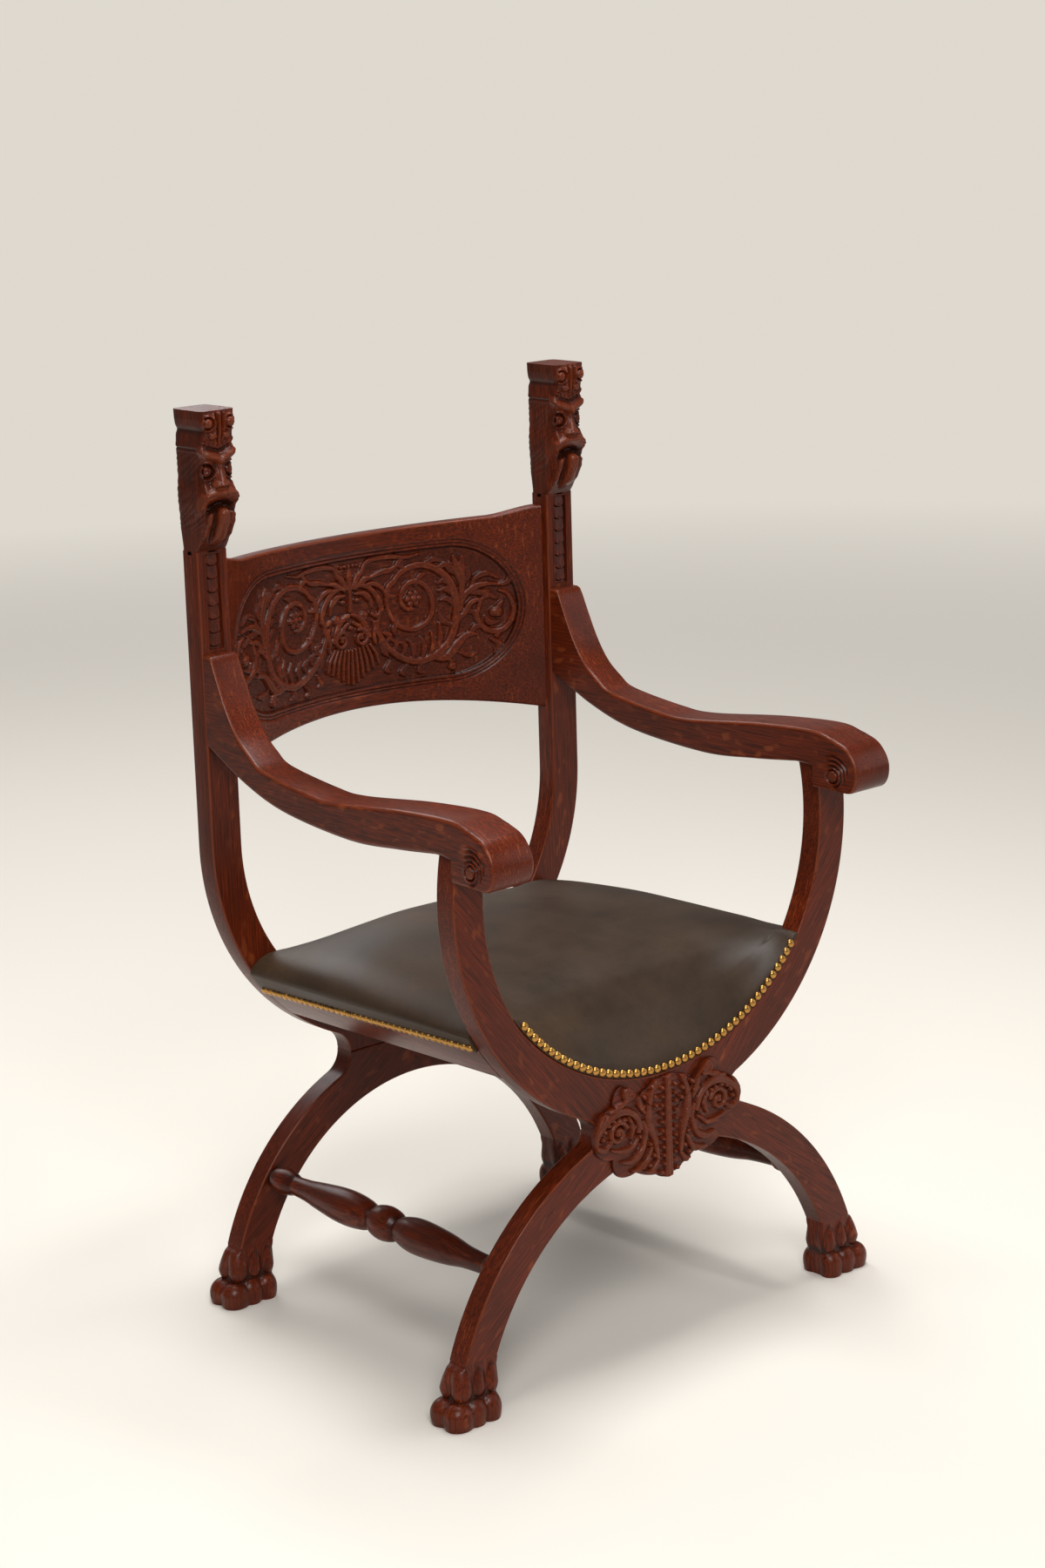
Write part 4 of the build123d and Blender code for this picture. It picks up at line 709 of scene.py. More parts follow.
# ------------------------------------------------------------------ stile heads
def head_relief(u, v):
    """The mask's relief in millimetres. u is the distance round from the middle of the front and v
    the height: cap with ringed curls, brows, ringed eyes, nose, moustache, mouth and tongue."""
    a = np.abs(u)
    # the cap: a curl at each side, ribs between, and two buttons under them
    curl = np.hypot(a - 14.5, v - 146)
    ringed = 2.6 * hump(curl, 8.4, 1.5) + 5.2 * dome(curl, 6.0) - 1.6 * hump(curl, 6.4, 0.9)
    push = ringed * (curl < 12)
    cap = smoothstep(116, 124, v) * smoothstep(160, 155, v)
    spread = 1 + 0.022 * (v - 128)
    ribs = 4.0 * hump(u, 0, 1.9) + 2.8 * hump(a, 4.4 * spread, 1.3)
    push += (ribs - 2.2 * hump(a, 2.7 * spread, 0.8)) * cap
    push += 4.4 * dome(np.hypot(a - 9.0, v - 131), 4.6)
    small = np.hypot(a - 19, v - 124)
    push += (2.4 * hump(small, 4.2, 1.2) + 2.2 * dome(small, 2.0)) * (small < 6.5)
    push -= 1.8 * hump(v, 137, 3.4) * smoothstep(20, 24, a)
    push -= 1.6 * hump(v, 117, 1.5) * smoothstep(22, 25, a)
    # brows, ringed eyes, nose and cheeks
    push += 6.4 * hump(v, 104.5 + 0.36 * a, 5.0) * smoothstep(34, 26, a)
    push -= 2.6 * hump(v, 114 + 0.36 * a, 1.9) * smoothstep(28, 20, a)
    eye = np.hypot((a - 16.5) / 1.12, v - 92.5)
    push -= 5.5 * hump(eye, 0, 12.0) * smoothstep(106, 100, v)
    push += 7.0 * dome(eye, 6.4) - 1.6 * hump(eye, 0, 1.6) + 3.8 * hump(eye, 9.6, 1.6)
    bridge = smoothstep(100, 79, v)
    nose = (5.0 + 5.0 * bridge) * hump(u, 0, 3.4 + 3.0 * bridge)
    push += nose * smoothstep(72, 77, v) * smoothstep(109, 101, v)
    push += 4.2 * dome(np.hypot(a - 7.6, v - 78), 4.6)
    push += 2.6 * dome(np.hypot(a - 21, v - 75), 6.0)
    # moustache, open mouth, tongue, chin and beard
    droop = 0.012 * a**2
    push += 7.6 * hump(v, 68.5 - droop, 6.2) * smoothstep(44, 33, a)
    push -= 1.6 * hump(v, 66.5 - droop, 1.0) * smoothstep(6, 11, a) * smoothstep(36, 30, a)
    push -= 11.0 * hump(v, 53.5 - droop, 4.6) * smoothstep(27, 20, a)
    push += 9.5 * dome(u, 7.4) * smoothstep(57, 50, v) * smoothstep(4, 16, v)
    push -= 1.4 * hump(u, 0, 1.1) * smoothstep(52, 46, v) * smoothstep(26, 34, v)
    push += 3.6 * hump(np.hypot(a - 16, 0.55 * (v - 44)), 0, 4.8)
    push -= 3.4 * hump(a, 10.0, 2.0) * smoothstep(8, 20, v) * smoothstep(54, 46, v)
    push += 2.4 * hump(a, 17, 4.0) * smoothstep(12, 20, v) * smoothstep(40, 32, v)
    strands = np.sin(0.75 * v + 0.5 * a + 1.6 * np.sin(0.17 * v + 0.2 * a))
    beard = 0.28 * strands * smoothstep(23, 28, a) * smoothstep(116, 108, v)
    return push + beard * smoothstep(20, 34, v)


def head_sheet():
    """A carved mask as a closed tube of level rings: each ring is a rounded rectangle, pushed out
    by features placed by the distance round from the front's middle and by height."""
    s = sizes()
    rows, cols = 210, 184
    z = np.linspace(s.head_bottom - 4 * MM, TOP_Z, rows)[:, None]
    around = np.linspace(-pi, pi, cols, endpoint=False)[None, :]
    half = s.rear_bowl_width / 2
    h = (z - s.head_bottom) / MM
    # how far the front, the back and the sides stand out at each height, in millimetres
    front = np.interp(
        h, (-4, 0, 18, 34, 48, 60, 72, 90, 104, 112, 126, 136, 160),
        (0, 0, 14, 22, 25, 23.5, 22, 22, 21.5, 23.0, 22.5, 25.0, 25.5),
    ) * MM
    back = np.interp(h, (-4, 4, 24, 160), (0, 0, -3.0, -3.4)) * MM
    width = half + np.interp(
        h, (0, 20, 42, 56, 70, 82, 112, 118, 124, 138, 150, 160),
        (0, 0.6, 1.6, 2.7, 2.7, 1.2, 1.4, 2.6, 1.4, 0.6, 2.4, 2.8),
    ) * MM
    y0, y1 = REAR_Y - front, REAR_BACK_Y - back
    depth, middle_y = (y1 - y0) / 2, (y0 + y1) / 2
    # a superellipse of a high power keeps the sides flat and the corners soft
    power = 4.6 + 3.4 * smoothstep(118, 130, h) + 3.4 * smoothstep(18, 4, h)
    power = np.where(np.cos(around) < 0, np.maximum(power, 8.0), power)
    across, ahead = np.sin(around), -np.cos(around)
    reach = (np.abs(across / width) ** power + np.abs(ahead / depth) ** power) ** (-1 / power)
    x, y = reach * across, reach * ahead
    # u is the distance round from the middle of the front, in millimetres; the back has none
    beside = np.abs(x) >= half * 0.9
    u = np.where(beside, np.sign(x) * (half + np.clip(y + depth, 0, None)), x) / MM
    u = np.where((y > 0) & ~beside, 60.0, u)
    push = head_relief(u, np.broadcast_to(h, u.shape)) * MM
    push *= smoothstep(-2, 10, h) * smoothstep(160, 157.5, h)
    size = np.hypot(x, y)
    x = x + push * x / size * 0.75
    y = y + push * y / size
    low_x, proud = s.rear_bowl_inner, 2.8 * MM
    x = np.clip(low_x + half + x, low_x - proud, low_x + 2 * half + proud)
    # the mask's hollows painted dark as glaze and painted shade, its proud places paler as rubbed
    # polish and a painted highlight
    wear = np.clip(push / (3.4 * MM) - 0.25, -1, 0.7)
    return tube(np.stack([x, middle_y + y, np.broadcast_to(z, x.shape)], -1), wear)


SCALE_COUNT = 7


def scale_channel(x, z):
    """How far the stile's front is cut at a place: a channel holding a row of hanging scales, each
    proud at its foot and rounded like a fish scale, with a bead on its middle."""
    s = sizes()
    half, bead_size = 9.5 * MM, 2.2 * MM
    across = np.abs(x - (s.rear_bowl_inner + s.rear_bowl_width / 2))
    top = s.head_bottom - 2 * MM
    bottom = top - SCALE_COUNT * s.scale_pitch - 2 * MM
    step = (top - z) / s.scale_pitch
    part = step - np.floor(step)
    edge = 0.97 - 0.30 * (across / half) ** 2
    body = 0.35 + 0.65 * part / edge
    scale = np.where(part < edge, body, 0.0) * np.clip(1.15 - (across / half) ** 4, 0, 1)
    away = np.hypot(across / bead_size, (part - 0.80) * s.scale_pitch / bead_size)
    depth = 3.6 * MM - 2.6 * MM * scale - 1.2 * MM * np.clip(1 - away, 0, 1)
    inside = (across < half) & (z < top) & (z > bottom)
    rim = hump(across, half + 2.6 * MM, 0.7 * MM) * smoothstep(bottom - 0.002, bottom + 0.004, z)
    return np.where(inside, depth, 0.9 * MM * rim * (z < top))


class BuildRearFrame(bpy.types.Operator):
    """Build the rear frame: bowl quarters that run up into stiles with carved heads, and arches"""

    bl_idname = "armchair.rear_frame"
    bl_label = "Rear frame"

    def execute(self, context):
        s = sizes()
        ring = Ring("rear")
        curves = ring.bowl(s.rear_bowl_z, count=64)
        channel_low = s.head_bottom - (SCALE_COUNT + 1) * s.scale_pitch
        rise = np.concatenate([
            np.linspace(s.rear_bowl_z + 0.01, channel_low, 12),
            np.linspace(channel_low, s.head_bottom, 150)[1:],
        ])
        inner, outer = (
            np.concatenate([curve, np.stack([np.full(rise.shape, x), rise], -1)])
            for curve, x in zip(curves, (ring.bowl_inner, ring.bowl_outer))
        )
        stile = board_sheet(inner, outer, REAR_Y, s.arris, across=56, carve=scale_channel)
        both_sides("rear_stile", [stile, head_sheet()], "upright")
        legs = board_sheet(*ring.arch(s.paw_height), REAR_Y, s.arris)
        both_sides("rear_leg", [legs], "arch_{}", even_normals=True)
        return {"FINISHED"}


# ------------------------------------------------------------------------ paws
# place along the foot, half width, half depth and height of the middle, of each toe and knuckle
TOES = ((0.985, 18.0, 16.0, 12.5), (0.60, 15.0, 13.4, 13.5), (0.23, 14.0, 12.6, 13.5))
KNUCKLES = ((0.88, 11.6, 11.2, 40.5), (0.54, 10.6, 10.6, 42.0), (0.20, 9.8, 9.8, 41.5))
MELT = 13  # the power of the mean that melts neighbouring toes into each other


def paw_sheet(which):
    """A lion's paw as a closed tube of level rings: the leg's section at the top, and below it the
    farthest reach of toes and knuckles along each ray from the paw's axis. The knuckles are long
    flutes that run up into the leg and end in a bulb over the toes; the corner toe is the
    largest."""
    low, high = box(f"{which}_paw_right")
    front_y, back_y = (FRONT_Y, FRONT_BACK_Y) if which == "front" else (REAR_Y, REAR_BACK_Y)
    ring = Ring(which)
    top = sizes().paw_height
    inner_x, outer_x = (
        sqrt(radius**2 - (top - ring.arch_z) ** 2) for radius in (ring.arch_inner, ring.arch_outer)
    )
    mid_y, depth = (front_y + back_y) / 2, (high[1] - low[1]) / 2
    rows, cols = 120, 240
    z = np.linspace(0, top, rows)[:, None]
    angle = np.linspace(0, 2 * pi, cols, endpoint=False)[None, :]
    lean = smoothstep(top, 0.006, z)
    spread = high[0] - outer_x
    axis_x = (inner_x + outer_x) / 2 + lean * spread * 0.36
    x_way, y_way = np.cos(angle) + 0 * z, np.sin(angle) + 0 * z
    half_x = (outer_x - inner_x) / 2 + lean * spread * 0.20
    half_y = STOCK / 2 + lean * 3.5 * MM
    power = 6.0 + 12.0 * smoothstep(top - 12 * MM, top, z)
    core = (np.abs(x_way / half_x) ** power + np.abs(y_way / half_y) ** power) ** (-1 / power)
    lobes = []

    def add_lobe(x, y, wide, deep, middle, above, below):
        """An egg-shaped lobe: how far it reaches along each level ray from the axis."""
        level = 1 - ((z - middle * MM) / (np.where(z > middle * MM, above, below) * MM)) ** 2
        _, far, hit = ellipse_hits(
            x_way, y_way, x - axis_x, y - mid_y, wide * MM, deep * MM, level
        )
        lobes.append(np.where(hit, far, 0))

    for side in (-1, 1):
        for place, wide, deep, middle in TOES:
            x = inner_x + place * (high[0] - wide * MM - inner_x) + 1.5 * MM
            y = mid_y + side * (depth - deep * MM)
            add_lobe(x, y, wide, deep, middle, 17.0, 26.0)
        for place, wide, deep, middle in KNUCKLES:
            rise = np.clip((z - middle * MM) / (top - middle * MM), 0, 1)
            x = inner_x + place * (outer_x + 9 * MM - inner_x) + 1 * MM - 5 * MM * place * rise
            y = mid_y + side * (depth - 6.0 * MM - deep * MM - 5.5 * MM * rise)
            add_lobe(x, y, wide, deep, middle, 33.0, 13.5)
    lobes = np.array(lobes)
    melted = core * (((lobes / core) ** MELT).sum(axis=0) + 1) ** (1 / MELT)
    second, first = np.sort(lobes, axis=0)[-2:]
    crease = hump(first - np.maximum(second, core), 0, 1.5 * MM)
    crease = crease * smoothstep(-1 * MM, MM, first - core)
    fade = smoothstep(top, top - 7 * MM, z)
    reach = core + (melted - core) * fade
    x = np.minimum(axis_x + reach * x_way, high[0])
    y = np.clip(mid_y + reach * y_way, low[1], high[1])
    # creases between the toes and the gaps low between them are painted dark as glaze and painted
    # shade; the swell of toes and knuckles is painted paler as rubbed polish and a painted
    # highlight
    gap = smoothstep(2.5 * MM, -1 * MM, first - core) * hump(z, 32 * MM, 5 * MM)
    wear = 0.35 * smoothstep(2 * MM, 9 * MM, reach - core) - 0.9 * crease * fade - gap
    return tube(np.stack([x, y, z + 0 * x], -1), np.clip(wear, -0.95, 0.5))


class BuildPaws(bpy.types.Operator):
    """Build the four lion's paws"""

    bl_idname = "armchair.paws"
    bl_label = "Paws"

    def execute(self, context):
        for which in ("front", "rear"):
            both_sides(f"{which}_paw", [paw_sheet(which)], "upright")
        return {"FINISHED"}


# ------------------------------------------------------------------------ arms
# the upper edge's sweep up the stile, in metres from the rear frame's front and the tip
ARM_SWEEP = (
    0, -0.0005, -0.007, -0.0006, -0.013, -0.003, -0.024, -0.027, -0.040, -0.060, -0.058, -0.086,
    -0.080, -0.104, -0.105, -0.117, -0.186, -0.1285, -0.237, -0.130,
)


def arm_outline():
    """The arm's side outline as paired upper and lower places from the tip to the nose, in the YZ
    plane, and the eye of its scroll."""
    low = box("arm_right")[0]
    tip = box("arm_tip_right")[1][2]
    nose_y, bottom = low[1], low[2]
    crest = 677 * MM
    eye = np.array([FRONT_Y - 0.45 * (FRONT_Y - nose_y), 627 * MM])
    fall = (eye[0], crest - 0.0065)
    upper = curve_through([
        *np.reshape(ARM_SWEEP, (-1, 2)) + (REAR_Y, tip),
        (FRONT_BACK_Y + 0.060, crest - 0.0045), (FRONT_Y + 0.004, crest), fall,
    ], 14)
    lower = curve_through([
        (FRONT_BACK_Y, ARM_SEAT_Z), (FRONT_BACK_Y + 0.066, 0.628), (FRONT_BACK_Y + 0.150, 0.622),
        (REAR_Y - 0.145, 0.631), (REAR_Y - 0.070, 0.651), (REAR_Y, 0.683),
    ], 14)
    y = np.concatenate([
        REAR_Y - 0.06 * (1 - np.cos(np.linspace(0, pi / 2, 18))),
        np.linspace(REAR_Y - 0.065, FRONT_Y + 0.03, 70),
        np.linspace(FRONT_Y + 0.029, FRONT_Y + 0.0001, 24),
        np.linspace(FRONT_Y - 0.0001, eye[0], 24),
    ])
    order = np.argsort(upper[:, 0])
    top_z = np.interp(y, upper[order, 0], upper[order, 1])
    low_z = np.interp(y, lower[:, 0], lower[:, 1])
    under = np.where(y < FRONT_Y, bottom, np.where(y < FRONT_BACK_Y, ARM_SEAT_Z, low_z))
    nose = curve_through([
        fall, (nose_y + 0.0190, crest - 0.0135), (nose_y + 0.0075, crest - 0.0245),
        (nose_y + 0.0010, crest - 0.0385), (nose_y + 0.0015, 0.6235),
        (nose_y + 0.0075, bottom + 0.0035), (nose_y + 0.017, bottom), (eye[0], bottom),
    ], 12)
    return y, top_z, under, nose, eye


# radius, and the angles between which the flute runs
VOLUTE_FLUTES = ((12.4, -100, 130), (18.0, -20, 120), (23.6, 10, 115))


def volute_relief(y, z, eye):
    """Height of the scroll cut on the arm's side, in millimetres: a domed eye in a ring, and three
    gouged flutes that sweep round it over the nose. Angles turn from the nose upwards."""
    dy, dz = (y - eye[0]) / MM, (z - eye[1]) / MM
    away = np.hypot(dy, dz)
    turn = np.degrees(np.arctan2(dz, -dy))
    lift = 3.4 * dome(away, 6.6) - 2.2 * hump(away, 7.8, 1.0)
    lift += 0.9 * hump(away, 9.8, 1.0)
    for radius, start, end in VOLUTE_FLUTES:
        ends = smoothstep(start - 6, start + 22, turn) * smoothstep(end + 6, end - 30, turn)
        lift -= 2.0 * hump(away, radius, 1.5) * ends
        lift += 0.8 * hump(away, radius + 2.9, 1.1) * ends
    return lift


def arm_sheets():
    """The arm from its outline: on each side a flat face that runs from a middle line out to the
    outline, a rounded arris, and the top and underside between them."""
    y, top_z, under, nose, eye = arm_outline()
    blend = smoothstep(FRONT_Y + 0.05, eye[0], y)
    spine_z = (top_z + under) / 2 * (1 - blend) + eye[1] * blend
    spine = np.stack([y, spine_z], -1)
    rim = np.concatenate([
        np.stack([y, top_z], -1), nose[1:-1], np.stack([y, under], -1)[::-1]
    ])
    core = np.concatenate([spine, np.repeat(eye[None, :], len(nose) - 2, 0), spine[::-1]])
    low, high = box("arm_right")
    rear_width, nose_width = 40 * MM, high[0] - low[0]
    out = np.maximum(np.linalg.norm(rim - core, axis=1), 1e-5)
    way = (rim - core) / out[:, None]
    r = np.minimum(sizes().arm_arris, out * 0.45)[:, None]
    face = np.linspace(0, 1, 38)
    turn = np.linspace(0, pi / 2, 7)[1:]
    flat = out[:, None] - r
    away = np.concatenate([flat * face, flat + r * np.sin(turn)], axis=1)
    back = np.concatenate([0 * face, 1 - np.cos(turn)]) * r
    rub_and_highlight = np.broadcast_to(np.concatenate([0 * face, np.sin(2 * turn)]), away.shape)
    py = core[:, 0:1] + way[:, 0:1] * away
    pz = core[:, 1:2] + way[:, 1:2] * away
    share = (nose_width - rear_width) * (REAR_Y - py) / (REAR_Y - nose[:, 0].min())
    lift = volute_relief(py, pz, eye)
    lift = np.where(np.arange(away.shape[1]) < len(face) + 2, lift, 0)
    proud = np.minimum(lift, 1.2) * MM
    left = np.stack([low[0] + back - proud, py, pz], -1)
    right = np.stack([low[0] + (rear_width + share) - back + proud, py, pz], -1)
    points = np.concatenate([left, right[:, ::-1]], axis=1)
    # the arris painted paler as rubbed polish and a painted highlight; the volute's flutes painted
    # dark as glaze and painted shade, its proud rings paler
    wear = rub_and_highlight * 0.9 + np.clip(lift, -1.5, 1) * 0.55 * (np.abs(lift) > 0.05)
    wear = np.concatenate([wear, wear[:, ::-1]], axis=1)
    points[..., 0] = np.maximum(points[..., 0], low[0] - 1.2 * MM)
    return [(np.concatenate([points, points[:1]]), np.concatenate([wear, wear[:1]]), False)]


class BuildArms(bpy.types.Operator):
    """Build the two scrolled arms with their glued-on tips"""

    bl_idname = "armchair.arms"
    bl_label = "Arms"

    def execute(self, context):
        both_sides("arm", arm_sheets(), "front_back", ["arm", "arm_tip"])
        return {"FINISHED"}


# ----------------------------------------------------------------- back board
def board_edges(x):
    """Heights of the back board's lower and upper edges at a place across."""
    low, high = box("back_panel")
    end, bottom, top = high[0], 665 * MM, 879 * MM
    rise = np.abs(x) / end
    lower = bottom - (bottom - low[2]) * (x / end) ** 2
    ears = 0.5 * (high[2] - top - 0.006) * smoothstep(0.76, 0.99, rise)
    return lower, top + 0.006 * rise**2 + ears


# strokes: three half widths, then the path from place to place, in millimetres
BOARD_STEMS = (
    (4, 6, 4, 36, -2, 41, -15, 51, -33, 70, -50, 94, -59, 117, -54, 136, -38, 145, -15, 146, 12,
     139, 36, 124, 52, 106, 60, 87, 59, 72, 52, 63, 42),
    (4, 5, 2.5, 65, 45, 57, 38, 57, 28, 65, 26),
    (3, 4.2, 3, 57, 36, 54, 20, 60, 0, 73, -13, 91, -18, 108, -11, 116, 5, 114, 23, 104, 37, 89,
     41, 77, 33, 74, 19, 80, 9, 89, 7),
    (3, 7.5, 2, 152, 16, 154, 36, 148, 54, 144, 68),
    (3.5, 5, 1.5, 151, 0, 156, 16, 168, 26, 183, 29, 198, 27),
    (3.5, 4.5, 3, 148, -13, 156, -5, 164, 7, 173, 10),
    (3, 4.6, 2, 176, 9, 171, -8, 176, -23, 188, -31, 201, -29, 210, -18, 213, -2, 207, 14, 197,
     20),
    (3.5, 7.5, 2, 113, -56, 128, -59, 138, -53, 148, -41, 158, -33, 170, -33),
    (3, 3.5, 3, 128, -59, 137, -62, 139, -70),
    (3, 4, 1.5, 18, 60, 25, 72, 44, 76, 66, 75, 85, 72, 102, 75),
    (2.5, 4.5, 1.5, 33, 54, 48, 58, 63, 60, 74, 68),
)
# the leaves have the same half widths, so each is only a path
BOARD_LEAVES = (
    (141, 30, 132, 38, 123, 36), (142, 19, 134, 27, 124, 26), (142, 7, 135, 15, 126, 14),
    (119, -50, 125, -32, 124, -14), (110, -54, 116, -38, 113, -24),
    (100, -56, 104, -42, 100, -29), (87, -54, 90, -42, 83, -31), (74, -48, 78, -38, 70, -31),
    (63, -41, 66, -31, 57, -26), (53, -29, 57, -22, 48, -17), (139, -18, 129, -12, 123, -1),
    (154, 30, 162, 42, 157, 54), (152, 42, 142, 50, 139, 61), (154, 36, 155, 56, 154, 68),
    (164, 26, 171, 38, 184, 42, 196, 35), (160, 20, 175, 19, 188, 20), (175, 8, 184, 15, 194, 9),
    (181, -13, 186, -20, 198, -18), (201, 6, 196, -2, 198, -12), (132, -56, 124, -48, 119, -46),
    (80, -61, 72, -69, 77, -75), (57, -53, 51, -63, 56, -68), (100, -60, 96, -70, 104, -74),
    (154, -2, 168, -6, 169, -16), (198, 27, 207, 30, 209, 40), (108, 62, 119, 66, 128, 62),
    (80, 58, 72, 66, 80, 72), (123, 54, 134, 58, 139, 48), (161, -33, 168, -24, 177, -25),
    (186, -40, 196, -48, 190, -58), (149, -54, 160, -58, 171, -56), (42, -26, 48, -40, 55, -48),
    (95, 36, 100, 46, 110, 50), (70, -6, 63, -13, 65, -22),
)
BOARD_MASK = (
    (2.5, 5.0, 3, 4, 45, 18, 46, 32, 39, 42, 26, 46, 13, 40, 5, 32, 9),
    (2, 5.5, 2, 8, 37, 20, 36, 30, 27, 32, 17),
    (2.2, 3.2, 4.6, 0, 48, 0, 34, 0, 18),
    (3, 4.5, 2.5, 3, 12, 14, 6, 24, -6, 28, -18),
    (2.5, 3.5, 2, 4, 2, 13, -4, 21, -14),
    (3, 5.5, 2, 0, 44, 0, 58, 0, 70),
    (2.5, 5.5, 2, 4, 44, 12, 56, 20, 64),
    (2.5, 4.5, 2, 8, 43, 22, 52, 34, 54),
    (2, 4, 2, 20, 45, 34, 46, 46, 40, 54, 28),
    (2, 4.5, 2, 44, 10, 40, -4, 34, -16, 36, -28),
)
# flowers and buds, then the mask: place, radius, height and, if oval, how flat
BOARD_BEADS = (
    (91, 20, 5.0, 5.2), (193, -7, 8.5, 5.4, 0.85), (139, -70, 6.0, 5.0), (194, -36, 4.5, 4.0),
    (11, 29, 5.0, 5.0, 0.7), (21, 8, 7.0, 4.4), (15, -18, 3.4, 5.2), (0, -4, 5, 4.4, 0.7),
    (0, 72, 3.0, 4.6), (6, 72, 3.0, 4.6), (12, 72, 3.0, 4.6),
)


def board_carving(x, z):
    """The back board's carving as heights in millimetres above its ground, and its wear and painted
    light. x and z are measured from the field's middle: scrolled stems, leaves, and a bearded mask
    between."""
    s = sizes()
    half_length, half_height = s.field_half_length / MM, s.field_half_height / MM
    depth = s.field_depth / MM
    middle = half_length - half_height
    inside = half_height - np.hypot(np.maximum(np.abs(x) - middle, 0), z)
    r = Relief(np.abs(x), z)
    for path in BOARD_LEAVES:
        r.stroke(curve_through(path, 6), (2.2, 4.8, 1.6), 3.9, 1.1)
    r.strokes(BOARD_STEMS, 4.6, 1.0)
    r.strokes(BOARD_MASK, 5.0, 0.8)
    for angle in np.linspace(0, 2 * pi, 6, endpoint=False):
        r.bead(91 + 8 * cos(angle), 20 + 7.5 * sin(angle), 4.4, 4.2)
    # the flowers' middles, then the mask's eyes, cheeks, curled moustache and beard
    for bead in BOARD_BEADS:
        r.bead(*bead)
    r.stroke(coil((15, -18), 11, 4, radians(110), -1.1, 26), (3.2, 3.2, 2.6), 5.2)
    for index, tip in enumerate((-73, -71, -66, -61, -57, -53)):
        base = (5.5 * index, -32 + 0.8 * index)
        strand = [base, (7.2 * index, (base[1] + tip) / 2), (7.9 * index, tip)]
        r.stroke(strand, (2.4, 3.2, 2.2), 4.8)
    ground = 0.3 * np.sin(1.9 * x + 2 * np.sin(0.7 * z)) * np.sin(2.1 * z + 1.7 * np.sin(0.8 * x))
    height = r.height + np.where(r.height < 0.3, ground, 0)
    height = height * smoothstep(0.2, 2.5, inside)
    field = smoothstep(0.0, 2.2, inside)
    lines = hump(inside, -3.4, 0.9) + hump(inside, -7.2, 0.9)
    sunk = -depth * field + np.minimum(height, depth + 1.3) * field - 1.4 * lines
    # painted light: a dark band where each stroke rises from the ground is painted shade, the
    # ground a little dark as glaze and painted shade, the crests paler as rubbed polish and a
    # painted highlight, and the incised lines and the field's edge dark as painted shade
    edge = hump(r.height, 1.1, 1.0) * (r.height > 0.02)
    wear = -0.32 - 0.62 * edge + 0.85 * smoothstep(1.8, 4.4, r.height)
    wear = np.where(inside > 0, wear, 0) - 0.8 * lines - 0.6 * hump(inside, 0.9, 1.5)
    return sunk, np.clip(wear, -1, 0.7)


def board_sheets():
    """The dished back board: upright strips round the bend's axis. Each strip's section has the
    carved front face, a rounded upper edge, the plain back and a rounded lower edge."""
    s = sizes()
    high = box("back_panel")[1]
    end, thick, r = high[0], 19 * MM, 3 * MM
    front_y = high[1] - thick
    sagitta = front_y - (REAR_Y + 11 * MM)
    radius = (end**2 + sagitta**2) / (2 * sagitta)
    strips, steps = 438, 184
    x = np.linspace(-end, end, strips)[:, None]
    down, up = board_edges(x)
    share = np.linspace(0, 1, steps)
    turn = np.linspace(0, pi / 2, 5)[1:-1]
    rise, fall = r * np.sin(turn), r * np.cos(turn)
    # most rows of the front face lie in the field
    margin, low_share, high_share = 9 * MM, 0.05, 0.93
    field_low = s.field_z - s.field_half_height - margin
    field_high = s.field_z + s.field_half_height + margin
    below = (down + r) * (1 - share / low_share) + field_low * share / low_share
    within = field_low + (field_high - field_low) * (share - low_share) / (high_share - low_share)
    above = field_high + (up - r - field_high) * (share - high_share) / (1 - high_share)
    front_z = np.where(share < low_share, below, np.where(share < high_share, within, above))
    lift, carving_wear_and_light = board_carving(x / MM + 0 * front_z, (front_z - s.field_z) / MM)
    # each part of the section: its height, its depth behind the front and its wear and painted
    # light (the upper edge painted paler as rubbed polish and a painted highlight)
    z, behind, wear = (np.concatenate(column, axis=1) for column in zip(*(
        np.broadcast_arrays(*part) for part in (
            (front_z, -lift * MM, carving_wear_and_light),
            (up - r + rise, r - fall, 0.8),
            (up, (r, thick - r), 0),
            (up - r + fall, thick - r + rise, 0),
            ((up - r) - np.linspace(0, 1, 6) * (up - down - 2 * r), thick, 0),
            (down + r - rise, thick - r + fall, 0),
            (down, (thick - r, r), 0),
            (down + r - fall, r - rise, 0),
        )
    )))
    angle, reach = np.arcsin(x / radius), radius + behind
    # strips near the ends stay inside the stiles' faces
    px = np.clip(reach * np.sin(angle), -end, end)
    py = front_y - radius + reach * np.cos(angle)
    return [tube(np.stack([px, py, z], -1), wear)]


class BuildBackBoard(bpy.types.Operator):
    """Build the dished back board with its sunk and carved field"""

    bl_idname = "armchair.back_board"
    bl_label = "Back board"

    def execute(self, context):
        make_piece(
            "back_board_carving", board_sheets(), oak("across"), ["back_panel"]
        )
        return {"FINISHED"}


